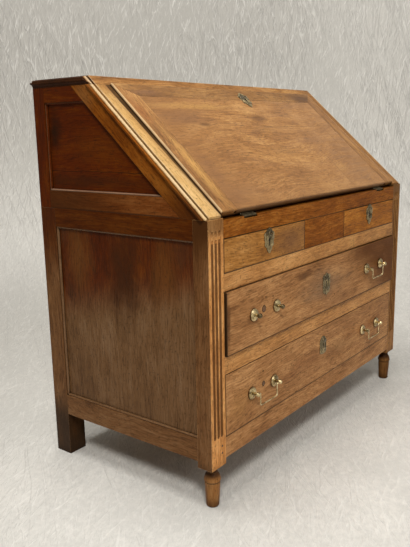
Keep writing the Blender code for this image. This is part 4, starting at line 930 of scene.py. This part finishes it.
for label, side in SIDES:
    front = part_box(f"front_post_{label}")[1].y
    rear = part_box(f"rear_post_{label}")[0].y
    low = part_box(f"side_bottom_rail_{label}")[1].z
    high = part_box(f"side_top_rail_{label}")[0].z
    corners = [(front, low), (rear, low), (rear, high), (front, high)]
    panel_moulding(f"side_panel_moulding_{label}", corners, side, moulding_wood)

    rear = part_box(f"gable_rear_stile_{label}")[0].y
    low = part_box(f"gable_bottom_rail_{label}")[1].z
    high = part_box(f"gable_top_rail_{label}")[0].z
    low_front = slope_y(low, -SLANT_WIDTH)
    high_front = slope_y(high, -SLANT_WIDTH)
    corners = [(low_front, low), (rear, low), (rear, high), (high_front, high)]
    panel_moulding(f"gable_panel_moulding_{label}", corners, side, gable_moulding_wood)


# Escutcheons: outlines are the outer edge of overlapping rounds, seen from the middle


def rounds_outline(rounds, count=120):
    """Outline of overlapping rounds (x, y, half width, half height), by rays from the middle."""
    outline = []
    for i in range(count):
        t = 2 * math.pi * i / count
        reach = 0.0
        for x, y, wide, tall in rounds:
            ray = Vector((math.cos(t) / wide, math.sin(t) / tall))
            centre = Vector((x / wide, y / tall))
            near = ray.dot(centre)
            rest = near * near - ray.length_squared * (centre.length_squared - 1)
            if rest >= 0:
                reach = max(reach, (near + math.sqrt(rest)) / ray.length_squared)
        outline.append((reach * math.cos(t), reach * math.sin(t)))
    return outline


def oval(x, y, wide, tall, count=24):
    angles = [2 * math.pi * i / count for i in range(count)]
    return [(x + wide * math.cos(t), y + tall * math.sin(t)) for t in angles]


def keyhole(y, wide, tall):
    """A key's slot: a round head over a straight foot."""
    head = [math.radians(-50 + 280 * i / 14) for i in range(15)]
    points = [(wide * math.cos(t), y + tall / 2 - wide + wide * math.sin(t)) for t in head]
    foot = y - tall / 2
    return points + [(-wide * 0.55, foot), (wide * 0.55, foot)]


def both_sides(rounds):
    return rounds + [(-x, *rest) for x, *rest in rounds if x]


def ovals(rows):
    return [oval(*row) for row in both_sides(rows)]


def widened(rounds, factor):
    return [(x * factor, y, wide * factor, tall) for x, y, wide, tall in rounds]


def bow_plate():
    """An oval shield under a ribbon bow, with a leaf-shaped drop."""
    rounds = both_sides([
        (0, -0.004, 0.0172, 0.0205),
        (0, -0.022, 0.0105, 0.0080),
        (0, -0.0285, 0.0055, 0.0050),
        (0, -0.0320, 0.0024, 0.0026),
        (0.0125, 0.0135, 0.0080, 0.0072),
        (0.0150, 0.0040, 0.0052, 0.0052),
        (0.0055, 0.0215, 0.0062, 0.0062),
        (0, 0.0265, 0.0050, 0.0052),
        (0.0140, -0.0120, 0.0046, 0.0048),
    ])
    holes = ovals([
        (0, 0.0255, 0.0019, 0.0021),
        (0.0128, 0.0140, 0.0034, 0.0027),
        (0.0052, 0.0172, 0.0022, 0.0030),
    ])
    rim = oval(0, -0.0055, 0.0135, 0.0160, 30)
    return widened(rounds, 1.15), holes, keyhole(-0.0055, 0.0043, 0.0200), rim, [(0, 0.0208), (0, -0.0272)]


def urn_plate():
    """A tall openwork plate: a narrow shield between two upright bars, with scrolls over and under it."""
    rounds = both_sides([
        (0, 0, 0.0150, 0.0240),
        (0.0105, 0.0200, 0.0078, 0.0072),
        (0, 0.0265, 0.0062, 0.0060),
        (0.0092, -0.0205, 0.0070, 0.0070),
        (0, -0.0270, 0.0054, 0.0055),
        (0.0142, 0.0050, 0.0036, 0.0100),
        (0.0130, -0.0090, 0.0040, 0.0080),
    ])
    holes = ovals([
        (0.0108, 0.0020, 0.0020, 0.0125),
        (0.0095, 0.0205, 0.0030, 0.0028),
        (0.0085, -0.0205, 0.0026, 0.0026),
        (0, 0.0215, 0.0020, 0.0024),
    ])
    rim = oval(0, -0.0010, 0.0072, 0.0150, 26)
    return widened(rounds, 1.25), holes, keyhole(0.0, 0.0032, 0.0175), rim, [(0, 0.0280), (0, -0.0275)]


def tablet_plate():
    """A squarish plate with an arched top and a framed key slot."""
    rounds = both_sides([
        (0.0085, -0.0175, 0.0100, 0.0085),
        (0, -0.0200, 0.0120, 0.0075),
        (0.0092, 0.0100, 0.0092, 0.0100),
        (0.0100, -0.0040, 0.0080, 0.0160),
        (0, 0.0200, 0.0105, 0.0085),
        (0.0075, 0.0175, 0.0060, 0.0060),
    ])
    holes = ovals([
        (0.0122, -0.0020, 0.0018, 0.0085),
        (0.0070, 0.0170, 0.0024, 0.0026),
        (0.0100, -0.0185, 0.0024, 0.0022),
    ])
    rim = oval(0, -0.0020, 0.0078, 0.0125, 24)
    return widened(rounds, 1.10), holes, keyhole(-0.0020, 0.0038, 0.0180), rim, [(0, 0.0225), (0, -0.0220)]


PLATE = 0.0014
BEAD = lathe([(0.0009, 0), (0.00085, 0.0003), (0.0006, 0.0007), (0.0002, 0.0009)], 8)
NAIL = lathe([(0.0018, 0), (0.0017, 0.0004), (0.0012, 0.0010), (0.0003, 0.0013)], 12)
WIRE_RIM = 0.0007


def rim_shape(path, z):
    """A raised wire laid round a closed path."""
    count = len(path)
    loops = []
    for i in range(count):
        before = Vector(path[i - 1])
        after = Vector(path[(i + 1) % count])
        side = (after - before).normalized()
        out = Vector((side.y, -side.x, 0))
        middle = Vector((*path[i], z))
        section = [2 * math.pi * k / 6 for k in range(6)]
        loops.append([middle + out * WIRE_RIM * math.cos(t) + Z * WIRE_RIM * math.sin(t) for t in section])
    return loops_shape(loops + [loops[0]], closed=False)


def escutcheon(name, pattern, place, body):
    """A pierced brass plate with a beaded edge, its nails, and a near-black sheet behind its keyhole, the
    painted shade of the hole.
    """
    rounds, holes, key, rim, nails = pattern
    outline = rounds_outline(rounds)
    plate = pierced_plate(outline, holes + [key], PLATE)
    inner = rounds_outline([(x, y, wide - 0.0013, tall - 0.0013) for x, y, wide, tall in rounds], 60)
    shapes = [moved(plate, 0, 0, 0.0002), rim_shape(rim, PLATE + 0.0003)]
    shapes += [moved(BEAD, x, y, PLATE) for x, y in inner]
    shapes += [moved(NAIL, x, y, PLATE) for x, y in nails]
    piece(name, [placed(joined(shapes), place)], plate_brass, body)
    middle = sum(y for _, y in key) / len(key)
    wider = [(x * 1.35, middle + (y - middle) * 1.12) for x, y in key]
    keyhole_shade_sheet = moved(pierced_plate(wider, [], 0.0003, 0.00002), 0, 0, 0.0001)
    piece(name + "_keyhole_shade", [placed(keyhole_shade_sheet, place)], painted_hole_shade, body)


def front_face(node, x, z):
    return facing((x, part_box(node)[0].y, z), X, Z)


LID_LOCK_X = 0.043
LID_LOCK_ALONG = 0.420
SMALL_LOCK_X = 0.3045
PLATE_Z = {"small": 0.642, "upper": 0.468, "lower": 0.277}
LOCK_Z = {"small": 0.640, "upper": 0.500, "lower": 0.293}
lid_face = facing(on_slope(LID_LOCK_X, LID_LOCK_ALONG, LID_OUT), X, UP_SLOPE)
escutcheon("lid_escutcheon", bow_plate(), lid_face, "lid")
for label, side in SIDES:
    drawer = f"small_drawer_{label}"
    place = front_face(f"{drawer}_front", side * SMALL_LOCK_X, PLATE_Z["small"])
    escutcheon(f"{drawer}_escutcheon", bow_plate(), place, drawer)
for level, pattern in (("upper", urn_plate), ("lower", tablet_plate)):
    drawer = f"{level}_drawer"
    escutcheon(f"{drawer}_escutcheon", pattern(), front_face(f"{drawer}_front", 0, PLATE_Z[level]), drawer)


# Locks behind the fronts, nuts on the handle shanks, hinge screws, knob, pegs and old holes


def lock(name, place, body):
    """An iron lock case with its bolt slot, key pin and screws, drawn about its key pin."""
    case = [moved(tapered_box(0.070, 0.046, 0.010, 0.0015), 0, 0.004, 0.0003)]
    pin = [(0.0050, 0.0103), (0.0050, 0.0118), (0.0030, 0.0124), (0.0030, 0.0140), (0.0010, 0.0144)]
    case.append(lathe(pin, 16))
    case.append(moved(tapered_box(0.026, 0.005, 0.0015, 0.0005), 0, 0.0200, 0.0103))
    for x in (-0.029, 0.029):
        for y in (-0.014, 0.022):
            case.append(moved(screw_head(0.0032, x * 40 + y * 90), x, y, 0.0103))
    piece(name, [placed(joined(case), place)], lock_iron, body)


def behind(node, x, z):
    return facing((x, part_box(node)[1].y, z), -X, Z)


for level in ("upper", "lower"):
    drawer = f"{level}_drawer"
    lock(f"{drawer}_lock", behind(f"{drawer}_front", 0, LOCK_Z[level]), drawer)
for label, side in SIDES:
    drawer = f"small_drawer_{label}"
    lock(f"{drawer}_lock", behind(f"{drawer}_front", side * SMALL_LOCK_X, LOCK_Z["small"]), drawer)
lock("lid_lock", facing(on_slope(LID_LOCK_X, LID_LOCK_ALONG, LID_IN), -X, UP_SLOPE), "lid")

SHANK_RADIUS = 0.0028
for level, z in HANDLE_Z.items():
    nuts = []
    for _, side in SIDES:
        for end in (-1, 1):
            place = behind(f"{level}_drawer_front", side * HANDLE_X + end * HANDLE_SPACING / 2, z)
            washer = moved(ring(0.0080, SHANK_RADIUS + 0.0003, 0.0012, 0.0002, 24), 0, 0, 0.0002)
            nut = moved(ring(0.0062, SHANK_RADIUS + 0.0002, 0.0038, 0.0005, 4), 0, 0, 0.0016)
            nuts.append(placed(joined([washer, nut]), place))
    piece(f"{level}_drawer_handle_nuts", nuts, hinge_brass, f"{level}_drawer")

HINGE_X = 0.387
SCREW_ALONG = 0.017
for label, side in SIDES:
    case_screws = []
    lid_screws = []
    for number, x in enumerate((-0.019, 0.0, 0.019)):
        head = screw_head(0.0034, 0.7 + number * 1.1 + side)
        set_in = 0.0 if number != 1 else 0.005
        hinge_y = FRONT_Y + 0.0068 + SCREW_ALONG - set_in
        case_screws.append(placed(head, facing((side * HINGE_X + x, hinge_y, BED_Z + 0.0001), X, Y)))
        inner = on_slope(side * HINGE_X + x, SCREW_ALONG - set_in, LID_IN - 0.0001)
        lid_screws.append(placed(head, facing(inner, -X, UP_SLOPE)))
    piece(f"hinge_case_screws_{label}", case_screws, hinge_brass, "carcase")
    piece(f"hinge_lid_screws_{label}", lid_screws, hinge_brass, "lid")

low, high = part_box("inner_drawer")
knob = [
    (0.0055, 0.0002), (0.0055, 0.0010), (0.0030, 0.0016), (0.0027, 0.0050), (0.0036, 0.0072),
    (0.0068, 0.0094), (0.0078, 0.0118), (0.0070, 0.0142), (0.0042, 0.0158), (0.0008, 0.0163),
]
knob_place = facing((0, low.y, (low.z + high.z) / 2), X, Z)
knob_shape = placed(lathe(knob, 28), knob_place)
piece("inner_drawer_knob", [knob_shape], handle_brass, "inner_drawer")


PEG_X = 0.517
PEG_HEIGHTS = (0.1415, 0.1600)
PEG = lathe([(0.0030, 0.0001), (0.0030, 0.0003), (0.0024, 0.0005), (0.0006, 0.0006)], 14)
pegs = []
for _, side in SIDES:
    for z in PEG_HEIGHTS:
        pegs.append(placed(PEG, facing((side * PEG_X, FRONT_Y, z), X, Z)))
piece("joint_pegs", pegs, peg_wood, "carcase")


def old_holes(name, node, body, plugs, nails):
    """Filled holes of earlier fittings: plugs as (x, z, radius), and small open nail holes; the nail holes
    are near-black discs, painted shade, and dark rings mark the seams round the plugs.
    """
    filled = []
    shaded_holes_and_seams = []
    for x, z, radius in plugs:
        profile = [(radius, 0.0001), (radius, 0.0003), (radius * 0.92, 0.0005), (radius * 0.2, 0.0005)]
        filled.append(placed(lathe(profile, 20), front_face(node, x, z)))
        seam = ring(radius * 1.22, radius * 1.02, 0.0002, 0.00005, 24)
        shaded_holes_and_seams.append(placed(moved(seam, 0, 0, 0.0001), front_face(node, x, z)))
    piece(name + "_plugs", filled, plug_wood, body)
    for x, z, radius in nails:
        profile = [(radius, 0.0001), (radius * 0.9, 0.0002), (radius * 0.2, 0.00022)]
        shaded_holes_and_seams.append(placed(lathe(profile, 12), front_face(node, x, z)))
    piece(name + "_hole_shades_and_seams", shaded_holes_and_seams, painted_hole_shade, body)


old_holes(
    "upper_drawer", "upper_drawer_front", "upper_drawer",
    [(-0.3395, 0.469, 0.0075)],
    [(-0.330, 0.498, 0.0022), (-0.296, 0.493, 0.0022), (-0.372, 0.507, 0.0016), (-0.363, 0.513, 0.0014),
     (0.055, 0.425, 0.0020)],
)
old_holes(
    "lower_drawer", "lower_drawer_front", "lower_drawer",
    [(-0.331, 0.262, 0.0058)],
    [(-0.333, 0.297, 0.0026), (-0.399, 0.301, 0.0015), (-0.352, 0.281, 0.0014), (0.333, 0.290, 0.0022)],
)


# Floor and backdrop

VIEW = Vector((0.7896, 0.6136, 0.0))
ACROSS = Vector((VIEW.y, -VIEW.x, 0.0))
CAMERA = Vector((-HALF - 1.15489, FRONT_Y - 0.88718, 0.91774))
WALL_START = 3.0            # forward of the camera
BEND = 0.9
WALL_TOP = 3.4
FLOOR_BACK = -7.0
FLOOR_WIDE = 7.0


def backdrop():
    """Floor, bend and wall in one sheet, square to the view."""
    ground = Vector((CAMERA.x, CAMERA.y, 0.0))
    profile = [(FLOOR_BACK, 0.0), (-2.0, 0.0), (0.5, 0.0), (2.0, 0.0)]
    for step in range(13):
        t = math.pi / 2 * step / 12
        profile.append((WALL_START + BEND * math.sin(t), BEND * (1 - math.cos(t))))
    profile.append((WALL_START + BEND, WALL_TOP))
    columns = [-FLOOR_WIDE, -2.0, 2.0, FLOOR_WIDE]
    points = []
    for forward, height in profile:
        for across in columns:
            points.append(ground + VIEW * forward + ACROSS * across + Z * height)
    faces = []
    wide = len(columns)
    for row in range(len(profile) - 1):
        for column in range(wide - 1):
            a = row * wide + column
            faces.append((a, a + 1, a + wide + 1, a + wide))
    mesh = bpy.data.meshes.new("backdrop")
    mesh.from_pydata(points, [], faces)
    mesh.shade_smooth()
    made = bpy.data.objects.new("backdrop", mesh)
    bpy.context.scene.collection.objects.link(made)
    pale = tone(0.715, 0.687, 0.635)
    grey = tone(0.60, 0.58, 0.537)
    mesh.materials.append(cloth("backdrop_cloth", pale, grey, ACROSS, VIEW + Z))


backdrop()


# Light and camera


WARM_WHITE = (1.0, 0.99, 0.965)


def softbox(name, place, target, width, height, power):
    data = bpy.data.lights.new(name, "AREA")
    data.shape = "RECTANGLE"
    data.size = width
    data.size_y = height
    data.energy = power
    data.color = WARM_WHITE
    lamp = bpy.data.objects.new(name, data)
    lamp.location = place
    lamp.rotation_euler = (Vector(target) - Vector(place)).to_track_quat("-Z", "Y").to_euler()
    bpy.context.scene.collection.objects.link(lamp)


softbox("overhead_light", (-0.8, 0.3, 4.5), (-0.8, 0.3, 0.0), 2.0, 2.0, 124.0)
softbox("left_light", (-2.7, -2.1, 3.6), (-0.4, -0.1, 0.2), 0.9, 0.9, 127.0)
softbox("front_light", (-0.2, -3.6, 2.0), (0.0, 0.0, 0.6), 2.2, 2.0, 27.0)


def studio_world(glow, strength, seen):
    """A dim even glow on the object, shown as a pale wall to the camera and in reflections."""
    world = bpy.data.worlds.new("studio")
    world.use_nodes = True
    tree = world.node_tree
    lit = tree.nodes["Background"]
    lit.inputs["Color"].default_value = glow
    lit.inputs["Strength"].default_value = strength
    shown = tree.nodes.new("ShaderNodeBackground")
    shown.inputs["Color"].default_value = seen
    rays = tree.nodes.new("ShaderNodeLightPath")
    direct = rays.outputs["Is Camera Ray"]
    for output in ("Is Glossy Ray", "Is Transmission Ray"):
        either = tree.nodes.new("ShaderNodeMath")
        either.operation = "MAXIMUM"
        tree.links.new(direct, either.inputs[0])
        tree.links.new(rays.outputs[output], either.inputs[1])
        direct = either.outputs[0]
    both = tree.nodes.new("ShaderNodeMixShader")
    tree.links.new(direct, both.inputs[0])
    tree.links.new(lit.outputs[0], both.inputs[1])
    tree.links.new(shown.outputs[0], both.inputs[2])
    tree.links.new(both.outputs[0], tree.nodes["World Output"].inputs["Surface"])
    bpy.context.scene.world = world


studio_world(tone(0.90, 0.88, 0.85), 0.08, tone(0.46, 0.44, 0.40))
bpy.context.scene.view_settings.view_transform = "Standard"

LENS_PIXELS = 659.127
IMAGE_HEIGHT = 547
SENSOR = 36.0
camera_data = bpy.data.cameras.new("camera")
camera_data.sensor_width = SENSOR
camera_data.lens = SENSOR * LENS_PIXELS / IMAGE_HEIGHT
camera = bpy.data.objects.new("camera", camera_data)
bpy.context.scene.collection.objects.link(camera)
look_right = Vector((0.6103217549, -0.7919330236, -0.0186933605))
look_up = Vector((0.1795819427, 0.1153382052, 0.9769582510))
camera.matrix_world = facing(CAMERA, look_right, look_up)
bpy.context.scene.camera = camera
